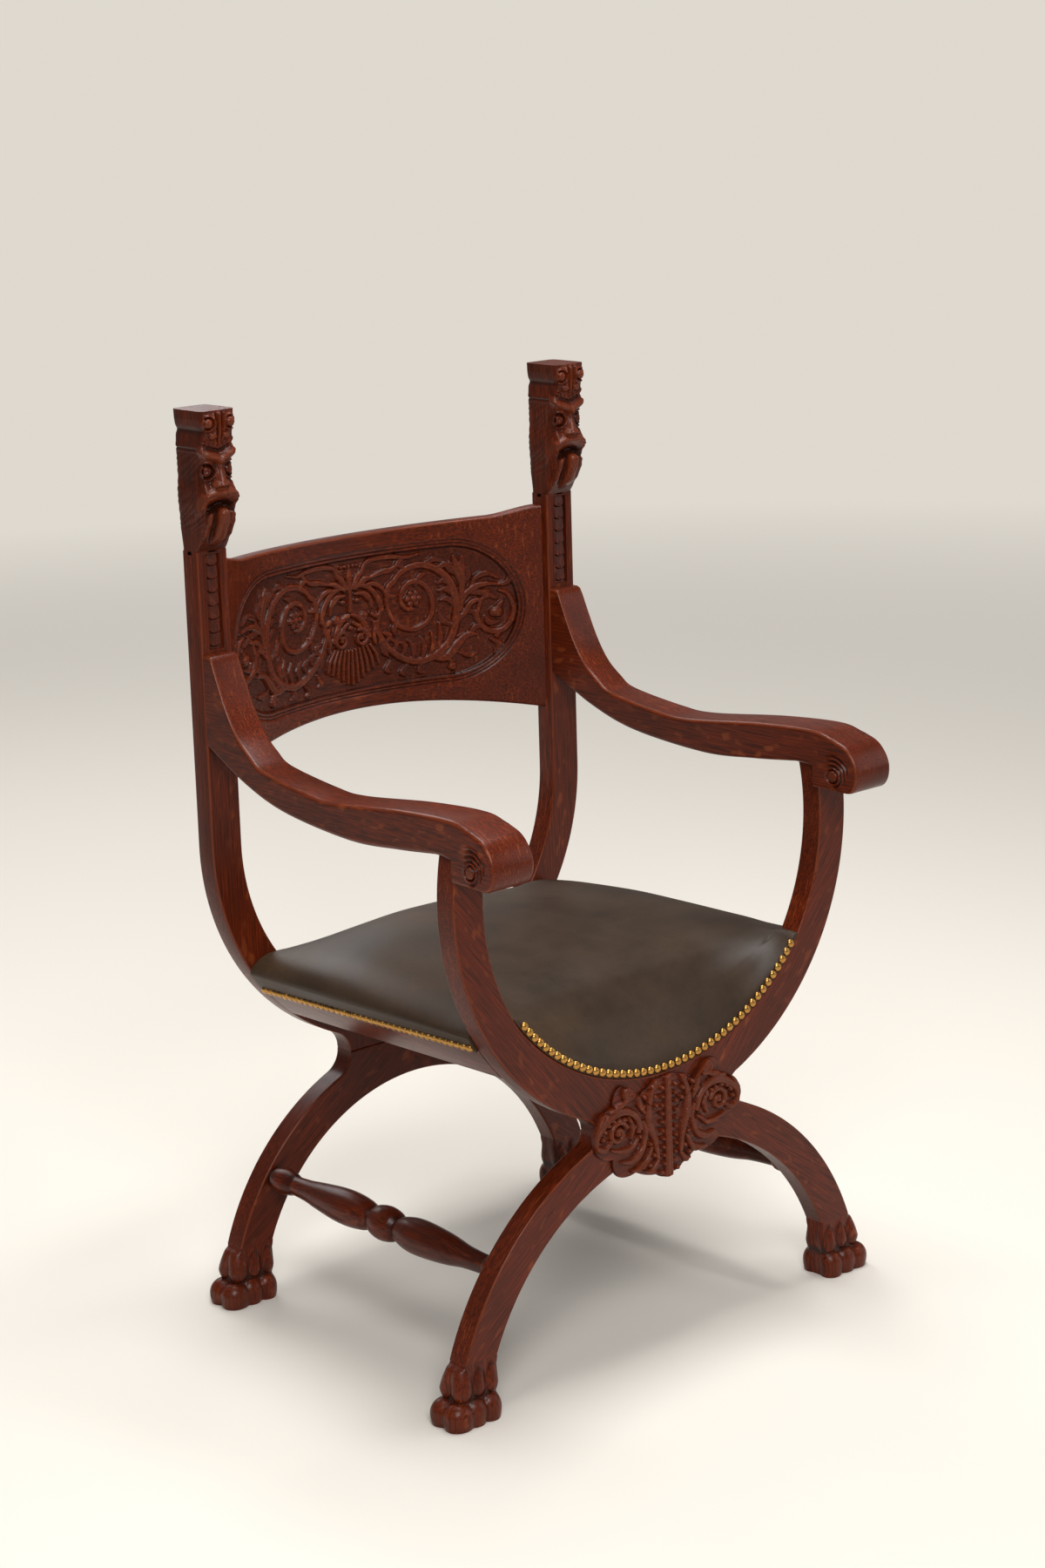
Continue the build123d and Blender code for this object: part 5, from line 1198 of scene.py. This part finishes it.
# ------------------------------------------------------------------ cartouche
# strokes: three half widths, then the path from place to place, in millimetres
CARTOUCHE_STROKES = (
    (5, 5.5, 7, 0, 326, 0, 300, 0, 262, 0, 230, 0, 207),
    (3, 6, 3, 20, 322, 30, 300, 30, 276, 22, 254, 18, 232),
    (4, 6, 4, 44, 274, 50, 288, 64, 298, 82, 299, 99, 291, 111, 279, 113, 268),
    (3.5, 4.5, 2.5, 110, 266, 100, 262, 90, 268),
    (2, 3.5, 2, 98, 304, 106, 292, 114, 280),
    (3, 4.5, 2, 66, 310, 78, 306, 90, 303),
    (3, 4.5, 2, 48, 316, 44, 300, 38, 290),
    (3, 4, 2, 50, 262, 60, 254, 74, 254, 88, 258),
    (2.5, 5.5, 2, 36, 262, 44, 246, 58, 238, 72, 240),
    (2.5, 5, 2, 28, 246, 36, 232, 48, 226, 58, 226),
    (2.5, 4.5, 2, 18, 228, 28, 218, 40, 218),
    (2.5, 4, 2, 40, 280, 36, 268, 42, 256),
    (2, 3.6, 2, 62, 290, 56, 278, 60, 266),
)
# beads: place and radius
CARTOUCHE_BEADS = (
    (36, 317, 3.4), (25, 316, 3.4), (38, 308, 3.4), (22, 305, 3.4), (40, 298, 3.4), (20, 294, 3.4),
    (48, 271, 3.2), (46, 264, 3.0), (60, 286, 3.2), (68, 290, 3.2), (76, 291, 3.2), (28, 277, 3.2),
    (22, 257, 3.0), (30, 251, 3.0), (20, 249, 3.0), (24, 236, 3.2), (31, 226, 3.2), (42, 226, 3.2),
    (10, 312, 2.8), (10, 302, 2.8), (11, 292, 2.8), (11, 282, 2.8), (11, 272, 2.8), (11, 262, 2.8),
    (10, 252, 2.8), (10, 242, 2.8), (9, 232, 2.8), (8, 222, 2.8), (12, 212, 3.0), (79, 276, 4.6),
    (85, 292, 3.0), (93, 289, 3.0), (99, 283, 3.0), (102, 275, 3.0), (54, 278, 3.0),
)


# the cartouche's outline: a tall middle, a scroll each side, a rosette above each, and leaves
CARTOUCHE_LOBES = (
    (0, 267, 61, 58), (84, 276, 30, 30), (-84, 276, 30, 30), (69, 313, 15, 15),
    (-69, 313, 15, 15), (0, 222, 26, 17), (60, 240, 26, 20), (-60, 240, 26, 20),
)


def cartouche_sheets():
    """The carved cartouche: rays from its middle out to its scrolled outline, raised by strokes."""
    middle_z, base = 268.0, 3.6
    cols, rows = 440, 140
    angle = np.linspace(0, 2 * pi, cols, endpoint=False)
    reach = np.zeros(cols)
    for cx, cz, half_x, half_z in CARTOUCHE_LOBES:
        _, far, hit = ellipse_hits(
            np.cos(angle), np.sin(angle), cx, cz - middle_z, half_x, half_z
        )
        reach = np.maximum(reach, np.where(hit, far, 0))
    reach = reach + 1.0 * np.sin(angle * 14)
    share = np.sin(np.linspace(0, pi / 2, rows)) ** 0.9
    x = reach * share[:, None] * np.cos(angle)
    z = middle_z + reach * share[:, None] * np.sin(angle)
    ax = np.abs(x)
    r = Relief(ax, z)
    r.strokes(CARTOUCHE_STROKES, 8.6, 1.6)
    r.stroke(coil((79, 276), 14, 4, radians(160), -1.25, 30), (3.6, 3.4, 2.6), 8.8)
    for bead in CARTOUCHE_BEADS:
        r.bead(*bead, 9.2)
    away = np.hypot(ax - 60, z - 319)
    rosette = 6.4 + 2.6 * hump(away, 7, 1.8) + 2.8 * hump(away, 0, 2.6)
    r.raise_to(away < 10, rosette[away < 10])
    height = np.minimum(base + np.maximum(r.height - base * 0.4, 0) * 0.84, 9.8)
    edge = np.linspace(0, 1, rows)[:, None]
    height = height * (1 - smoothstep(0.90, 1.0, edge) * 0.55)
    # low places painted dark as glaze and painted shade, high places paler as rubbed polish and a
    # painted highlight
    wear = np.clip((height - 4.2) / 3.2, -0.9, 0.8)
    face = np.stack([x * MM, FRONT_Y - height * MM, z * MM], -1)
    rim = face[-1:].copy()
    rim[..., 1] = FRONT_Y
    middle = np.repeat(rim.mean(axis=1, keepdims=True), cols, axis=1)
    return [
        (np.concatenate([face, rim, middle]), np.concatenate([wear, wear[-1:], wear[-1:]]), True)
    ]


class BuildCartouche(bpy.types.Operator):
    """Build the carved cartouche on the front hub"""

    bl_idname = "armchair.cartouche"
    bl_label = "Cartouche"

    def execute(self, context):
        make_piece(
            "front_cartouche_carving", cartouche_sheets(), oak("across"),
            ["front_cartouche"],
        )
        return {"FINISHED"}


# ------------------------------------------------------------------ stretchers
def unit(way):
    """A direction made one long."""
    return way / np.linalg.norm(way)


def rings_round(side, up, count):
    """Directions round an axis, as rows of XYZ: side times the angle's cosine and up times its
    sine, where side and up stand square to the axis and to each other."""
    turn = np.linspace(0, 2 * pi, count, endpoint=False)[:, None]
    return side * np.cos(turn) + up * np.sin(turn)


# a stretcher's turning: place along it, of TURNING_LENGTH, and radius in millimetres
TURNING_LENGTH = 24
TURNING = (
    0, 12, 0.3, 14.2, 0.7, 14.2, 1, 12, 1.15, 11.2, 3.2, 13, 5, 17.5, 7, 20.2, 8.4, 20.3, 9.4, 17.5,
    10, 14, 10.2, 12, 10.6, 17.8, 11.5, 20.5, 12.4, 17.8, 12.8, 12, 13, 14, 13.7, 18, 15, 20.5,
    16.5, 20.2, 18.5, 16.5, 20, 13, 21.2, 11.6, 21.4, 11.4, 21.9, 13.8, 22.7, 15.6, 23.5, 13.8,
    23.7, 11.5, 24, 11,
)
# along the turning: coves painted dark as glaze and painted shade, the balls' crests paler as
# rubbed polish and a painted highlight
TURNING_WEAR_AND_PAINTED_LIGHT = (
    (0, 0.9, 1.1, 9.9, 10.2, 10.6, 11.5, 12.4, 12.8, 13.1, 21.2, 21.5, 22.7, 23.6, 24),
    (0, 0, -0.6, 0, -0.9, 0, 0.3, 0, -0.9, 0, 0, -0.8, 0.2, -0.8, -0.8),
)


def stretcher_sheets():
    """A turned stretcher: rings round its axis. The radius is a run of coves, swells and balls."""
    start = np.array([230 * MM, FRONT_BACK_Y, 150 * MM])
    end = np.array([222 * MM, REAR_Y, 146 * MM])
    size = np.linalg.norm(end - start)
    axis = unit(end - start)
    share = np.linspace(0, 1, 220)
    place, size_there = curve_through(TURNING, 8).T
    radius = np.interp(share * TURNING_LENGTH, place, size_there) * MM
    side = unit(np.cross(axis, (0, 0, 1.0)))
    ring = rings_round(side, np.cross(side, axis), 48)
    centre = start + axis * (share * size)[:, None]
    points = centre[:, None, :] + ring * radius[:, None, None]
    wear = np.interp(share * TURNING_LENGTH, *TURNING_WEAR_AND_PAINTED_LIGHT)
    return [tube(points, wear[:, None])]


class BuildStretchers(bpy.types.Operator):
    """Build the two turned side stretchers"""

    bl_idname = "armchair.stretchers"
    bl_label = "Stretchers"

    def execute(self, context):
        both_sides("side_stretcher", stretcher_sheets(), "front_back")
        return {"FINISHED"}


# ----------------------------------------------------------------------- seat
# place from front to back and height of the leather, in millimetres
SEAT_MIDDLE = (
    (-240, 337), (-238.4, 340), (-235, 349), (-225, 366), (-210, 391), (-189, 413), (-169, 430),
    (-128, 443), (-60, 451), (-5, 456), (60, 456), (135, 449), (180, 438), (204, 425),
)
SEAT_CREST = (
    (-240, 441), (-169, 441), (-128, 444), (-5, 447), (60, 446), (135, 440), (180, 432), (204, 425)
)
# place across and back, half widths, and how far the leather rises there
SEAT_DIPS = (
    (-95, 20, 55, 60, -4.0), (60, -60, 90, 60, -2.5), (-10, -110, 40, 50, 2.0),
    (150, 110, 70, 80, -4.0), (-165, -40, 36, 90, -3.0), (130, -150, 30, 50, -2.5),
    (-60, 130, 90, 60, 3.0),
)


SETTLED_Y = -0.128  # metres: behind here the front frame no longer shapes the leather
WALL_Z = 0.4405  # metres: height at which the leather meets the bowl's inner wall
EDGE_Z = 0.4415  # metres: the highest that its front edge stands


def seat_top(x, y):
    """Height of the leather at a place across: it leaves the nails on the bowl's curve, climbs to
    the crown, is low in the middle between crests near the rails, and has a used seat's dips."""
    s = sizes()
    middle = curve_through(np.array(SEAT_MIDDLE) * MM)
    crest = curve_through(np.array(SEAT_CREST) * MM)
    low, high = (np.interp(y, line[:, 0], line[:, 1]) for line in (middle, crest))
    radius, offset = foot_curve()
    foot_z = s.front_bowl_z + offset
    bowl = foot_z - np.sqrt(radius**2 - np.minimum(np.abs(x), 0.95 * radius) ** 2)
    front = np.minimum(bowl + SEAT_MIDDLE[0][1] * MM - (foot_z - radius), EDGE_Z)
    settled = middle[np.argmin(np.abs(middle[:, 0] - SETTLED_Y)), 1]
    share = np.clip((low - middle[0, 1]) / (settled - middle[0, 1]), 0, 1)
    full = np.maximum(low, settled) if y < SETTLED_Y else low
    across = full + (high - full) * smoothstep(0.10, 0.85, np.abs(x) / 0.25)
    top = front + (across - front) * share
    for cx, cy, wide, deep, rise in SEAT_DIPS:
        top = top + rise * MM * hump(x, cx * MM, wide * MM) * hump(y, cy * MM, deep * MM) * share
    return top


def leather_sheets():
    """The seat's leather as one hide: closed rings across the chair, one after another from front
    to back, over the top from hem to hem and back underneath. In front the rings lie in the
    bowl. The first and last ring are each folded shut on their own middle line."""
    s = sizes()
    ring, rear = Ring("front"), Ring("rear")
    foot_radius, foot_offset = foot_curve()
    foot_z = s.front_bowl_z + foot_offset
    clear, thick = 0.4 * MM, 2.6 * MM
    flap_count, shoulder_count, inner_count = 12, 7, 89
    wall_x = sqrt(ring.bowl_inner**2 - (ring.bowl_z - WALL_Z) ** 2) - clear
    inner_x = np.linspace(wall_x, -wall_x, inner_count)
    foot_x = s.foot_half_width - clear
    foot = foot_z - sqrt((foot_radius - clear) ** 2 - foot_x**2)
    down = np.linspace(1, 0, flap_count + shoulder_count, endpoint=False)
    side_x = wall_x + (foot_x - wall_x) * down
    rows = []

    def add_row(y, x, z, under_x, under_z):
        x, z = np.concatenate([x, under_x]), np.concatenate([z, under_z])
        rows.append(np.stack([x, np.full(len(x), y), z], -1))

    # inside the front bowl the hide's sides run down the bowl's wall
    front_y = (0, 0.25, 0.8, 1.8, 3.2, 5.0, 7.5, 10, 13, 16, 19, 22, 25, 28)
    rolled = (2.4, 1.2, 0.5, 0.15)  # how far the front edge turns down in the first rows
    for index, y in enumerate(FRONT_Y + np.array(front_y) * MM):
        top = seat_top(inner_x, y)
        if index < len(rolled):
            top = top - rolled[index] * MM
        side_z = top[0] + (foot - top[0]) * down
        x = np.concatenate([side_x, inner_x, -side_x[::-1]])
        z = np.concatenate([side_z, top, side_z[::-1]])
        under_x = np.linspace(-foot_x, foot_x, len(x))
        add_row(y, x, z, under_x, foot_z - np.sqrt((foot_radius - clear) ** 2 - under_x**2))
    # behind the front frame it spreads over the rails and down to the hems
    back_y = np.concatenate([
        np.linspace(FRONT_BACK_Y + clear, -0.12, 24), np.linspace(-0.12, 0.188, 34)[1:],
        REAR_Y - np.array([9, 6, 3.5, 1.6, 0.4]) * MM,
    ])
    for y in back_y:
        t = (y - FRONT_BACK_Y) / (REAR_Y - FRONT_BACK_Y)
        outer = ring.bowl_outer + t * (rear.bowl_outer - ring.bowl_outer) + 3 * MM
        centre_z = ring.bowl_z + t * (rear.bowl_z - ring.bowl_z)
        deck_z = (424 - 20 * t) * MM
        hem_angle = radians(33 + t * 5.4) + 6.2 * MM / outer
        edge_angle = asin((centre_z - deck_z) / outer)
        edge_x = outer * cos(edge_angle)
        flap = np.linspace(hem_angle, edge_angle, flap_count)
        outwards = np.linspace(0, 1, shoulder_count, endpoint=False) ** 1.6
        shoulder = edge_x - (edge_x - wall_x) * outwards
        x_top = np.concatenate([shoulder, inner_x, -shoulder[::-1]])
        round_off = np.clip(1 - (np.abs(x_top) / edge_x) ** 9, 0, 1) ** 0.6
        z_top = deck_z + (seat_top(x_top, y) - deck_z) * round_off
        x = np.concatenate([outer * np.cos(flap), x_top, -outer * np.cos(flap[::-1])])
        z = centre_z - outer * np.sin(flap)
        z = np.concatenate([z, z_top, z[::-1]])
        inner = outer - thick
        under_x = np.concatenate([
            -inner * np.cos(flap), 0.985 * x_top[::-1], inner * np.cos(flap[::-1])
        ])
        under_z = centre_z - inner * np.sin(flap)
        under = np.minimum(deck_z, z_top[::-1] - thick)
        add_row(y, x, z, under_x, np.concatenate([under_z, under, under_z[::-1]]))
    points = np.array(rows)
    folded = [(end + end[:, ::-1]) / 2 for end in (points[:1], points[-1:])]
    return [(np.concatenate([folded[0], points, folded[1]]), None, True)]


class BuildSeat(bpy.types.Operator):
    """Build the leather seat"""

    bl_idname = "armchair.seat"
    bl_label = "Leather seat"

    def execute(self, context):
        seat = make_piece(
            "seat_hide", leather_sheets(), upholstery_leather(), ["seat_leather"]
        )
        return {"FINISHED"}


# ----------------------------------------------------------------------- nails
# a nail head from its foot to its crown: shares of its radius and height, and wear (the foot
# painted dark, partly patina and partly painted shade)
NAIL_RINGS = np.array([1.0, 0.98, 0.86, 0.62, 0.33, 0.0])
NAIL_LIFTS = np.array([0.0, 0.22, 0.55, 0.82, 0.96, 1.0])
NAIL_WEAR_AND_SHADE = np.array([-1, -1, -0.4, 0, 0, 0, 0])


def dome_sheets(places, outward):
    """Domed nail heads: rings round each head's own axis, the height a circle's arc."""
    radius, proud = sizes().nail_head / 2, sizes().nail_proud
    sheets = []
    for place, way in zip(places, outward):
        way = unit(way)
        side = unit(np.cross(way, (0.31, 0.17, 0.93)))
        ring = rings_round(side, np.cross(way, side), 12)
        points = place + ring * (NAIL_RINGS * radius)[:, None, None]
        points = points + way * (NAIL_LIFTS * proud)[:, None, None]
        base = np.broadcast_to(place, points[:1].shape)
        points = np.concatenate([base, points])
        sheets.append((points, np.broadcast_to(NAIL_WEAR_AND_SHADE[:, None], points.shape[:2]), True))
    return sheets


class BuildNails(bpy.types.Operator):
    """Build the rows of domed brass nails"""

    bl_idname = "armchair.nails"
    bl_label = "Nails"

    def execute(self, context):
        s = sizes()
        chance = np.random.default_rng(7)
        wobble = lambda count: chance.normal(0, 0.07, (count, 3))
        brass = antique_brass()
        # the front row follows the bowl's foot
        radius, offset = foot_curve()
        count, hem = 45, 5.8 * MM
        path = radius - hem
        sweep = asin((s.foot_half_width - hem) / path)
        angle = np.linspace(-sweep, sweep, count)
        places = np.stack([
            path * np.sin(angle), np.full(count, FRONT_Y),
            s.front_bowl_z + offset - path * np.cos(angle),
        ], -1)
        ways = np.array([0.0, -1.0, 0.0]) + wobble(count)
        heads = dome_sheets(places, ways)
        make_piece("front_nail_heads", heads, brass, ["front_nails"])
        # the side rows run from the front bowl to the rear one
        count, lift = 38, 3.2 * MM
        angles = radians(33), radians(38.4)
        ends = []
        for which, y, angle in zip(("front", "rear"), (FRONT_BACK_Y, REAR_Y), angles):
            ring = Ring(which)
            reach = ring.bowl_outer + lift
            ends.append(np.array([reach * cos(angle), y, ring.bowl_z - reach * sin(angle)]))
        share = (np.arange(count) + 0.75) / (count + 0.5)
        places = ends[0] + (ends[1] - ends[0]) * share[:, None]
        tilt = angles[0] + (angles[1] - angles[0]) * share
        ways = np.stack([np.cos(tilt), 0 * tilt, -np.sin(tilt)], -1) + wobble(count)
        heads = dome_sheets(places, ways)
        for side, turned in (("right", heads), ("left", mirrored(heads))):
            name = f"side_nail_heads_{side}"
            make_piece(name, turned, brass, [f"side_nails_{side}"])
        return {"FINISHED"}


# -------------------------------------------------------------- inside the seat
class FinishHiddenPieces(bpy.types.Operator):
    """Give the rails, bearers, dowels and cloths their finishes"""

    bl_idname = "armchair.hidden_pieces"
    bl_label = "Hidden pieces"

    def execute(self, context):
        tint = colours()
        birch = plain_wood("bare_birch", tint.birch)
        hardwood = plain_wood("seat_hardwood", tint.hardwood)
        finishes = {
            "side_rail_right": oak("front_back"),
            "side_rail_left": oak("front_back"),
            "front_seat_board": hardwood,
            "front_seat_bearer": hardwood,
            "rear_seat_bearer": hardwood,
            "seat_webbing": woven("jute_webbing", tint.jute, 2.4 * MM, 0.9),
            "seat_canvas": woven("linen_canvas", tint.linen, 1.2 * MM, 0.9),
            "dust_cover": woven("black_cambric", tint.cambric, 0.8 * MM, 0.85),
            **{name: birch for name in NODES if name.endswith("_dowels")},
        }
        for name, finish in finishes.items():
            slots = NODES[name].data.materials
            slots.clear()
            slots.append(finish)
        return {"FINISHED"}


# ----------------------------------------------------------------------- stage
BACKDROP = "dfd9d0"


def mix_surfaces(tree, share, first, second, output):
    """Show one surface or the other, by a share."""
    mixer = add_node(
        tree, "ShaderNodeMixShader", i0=share, i1=first.outputs[0], i2=second.outputs[0]
    )
    tree.links.new(mixer.outputs[0], tree.nodes[output].inputs["Surface"])


def studio_paper():
    """Pale seamless paper: lit by the lamps near the chair, washed evenly with light farther
    off."""
    material, tree, shader = new_finish("studio_paper", Roughness=0.8, IOR=1.4)
    connect(tree, linear(BACKDROP), shader.inputs["Base Color"])
    away = add_node(tree, "ShaderNodeVectorMath", {"operation": "LENGTH"}, i0=on_object(tree))
    wash = add_node(tree, "ShaderNodeEmission", Color=linear(BACKDROP), Strength=1.0)
    seen = add_node(tree, "ShaderNodeLightPath").outputs["Is Camera Ray"]
    share = maths(tree, "MULTIPLY", remap(tree, away.outputs["Value"], 1.4, 6.0), seen)
    mix_surfaces(tree, share, shader, wash, "Material Output")
    return material


def light_world(scene):
    """Soft light from all round, and the paper's colour where the camera looks past the floor."""
    world = bpy.data.worlds.new("studio")
    scene.world = world
    world.use_nodes = True
    tree = world.node_tree
    back = tree.nodes["Background"]
    connect(tree, linear("e8e6e2"), back.inputs["Color"])
    back.inputs["Strength"].default_value = 0.26
    seen = add_node(tree, "ShaderNodeBackground", Color=linear(BACKDROP), Strength=1.0)
    rays = add_node(tree, "ShaderNodeLightPath").outputs
    either = maths(tree, "MAXIMUM", rays["Is Camera Ray"], rays["Is Transmission Ray"])
    mix_surfaces(tree, either, back, seen, "World Output")


FLOOR = 300.0  # metres: half the floor's width
LAMPS = (  # name, place, width and power
    ("key_lamp", (-1.9, -2.6, 3.0), 1.6, 105),
    ("top_lamp", (0.3, 0.1, 3.4), 1.5, 90),
    ("fill_lamp", (2.8, -2.4, 1.8), 2.4, 22),
    ("rim_lamp", (0.8, 3.0, 2.6), 2.0, 45),
)


class BuildStage(bpy.types.Operator):
    """Build the pale floor, the backdrop, the lamps and the camera"""

    bl_idname = "armchair.stage"
    bl_label = "Stage"

    def execute(self, context):
        scene = context.scene
        floor = bpy.data.meshes.new("studio_floor")
        corners = [(FLOOR * i, FLOOR * j, 0) for i, j in ((-1, -1), (1, -1), (1, 1), (-1, 1))]
        floor.from_pydata(corners, [], [(0, 1, 2, 3)])
        ground = bpy.data.objects.new("studio_floor", floor)
        scene.collection.objects.link(ground)
        floor.materials.append(studio_paper())
        light_world(scene)
        for name, place, size, power in LAMPS:
            lamp = bpy.data.lights.new(name, "AREA")
            lamp.size = size
            lamp.energy = power
            thing = bpy.data.objects.new(name, lamp)
            thing.location = place
            aim = Vector((0, 0, 0.5)) - Vector(place)
            thing.rotation_euler = aim.to_track_quat("-Z", "Y").to_euler()
            scene.collection.objects.link(thing)
        scene.view_settings.view_transform = "Standard"
        add_camera(scene)
        return {"FINISHED"}


def add_camera(scene):
    """The camera: its place, its heading, fall and roll, and its lens."""
    place = Vector((-2.3178, -2.6201, 1.4924))
    heading, fall, roll = radians(41.6475), radians(14.007), radians(-1.664)
    forward = Vector((sin(heading) * cos(fall), cos(heading) * cos(fall), -sin(fall)))
    right = Vector((cos(heading), -sin(heading), 0))
    up = right.cross(forward)
    turned_right = right * cos(roll) + up * sin(roll)
    turned_up = up * cos(roll) - right * sin(roll)
    data = bpy.data.cameras.new("camera")
    data.sensor_fit = "VERTICAL"
    data.sensor_height = 36
    data.lens = 71.75
    data.clip_end = 900
    camera = bpy.data.objects.new("camera", data)
    turn = Matrix((turned_right, turned_up, -forward)).transposed()
    camera.matrix_world = Matrix.Translation(place) @ turn.to_4x4()
    scene.collection.objects.link(camera)
    scene.camera = camera


STEPS = (
    BuildStage, BuildFrontFrame, BuildRearFrame, BuildPaws, BuildArms, BuildBackBoard,
    BuildCartouche, BuildStretchers, BuildSeat, BuildNails, FinishHiddenPieces,
)


class ArmchairPanel(bpy.types.Panel):
    """Lists the chair's building steps, sizes and colours"""

    bl_idname = "VIEW3D_PT_armchair"
    bl_label = "Savonarola armchair"
    bl_space_type = "VIEW_3D"
    bl_region_type = "UI"
    bl_category = "Armchair"

    def draw(self, context):
        for step in STEPS:
            self.layout.operator(step.bl_idname, text=step.bl_label)
        for group in (context.scene.chair_sizes, context.scene.chair_colours):
            for name in group.__annotations__:
                self.layout.prop(group, name)


CLASSES = (ChairSizes, ChairColours, *STEPS, ArmchairPanel)


def register():
    for item in CLASSES:
        bpy.utils.register_class(item)
    bpy.types.Scene.chair_sizes = bpy.props.PointerProperty(type=ChairSizes)
    bpy.types.Scene.chair_colours = bpy.props.PointerProperty(type=ChairColours)


def unregister():
    del bpy.types.Scene.chair_colours
    del bpy.types.Scene.chair_sizes
    for item in reversed(CLASSES):
        bpy.utils.unregister_class(item)


def main():
    register()
    for step in STEPS:
        group, name = step.bl_idname.split(".")
        getattr(getattr(bpy.ops, group), name)()


if __name__ == "__main__":
    main()
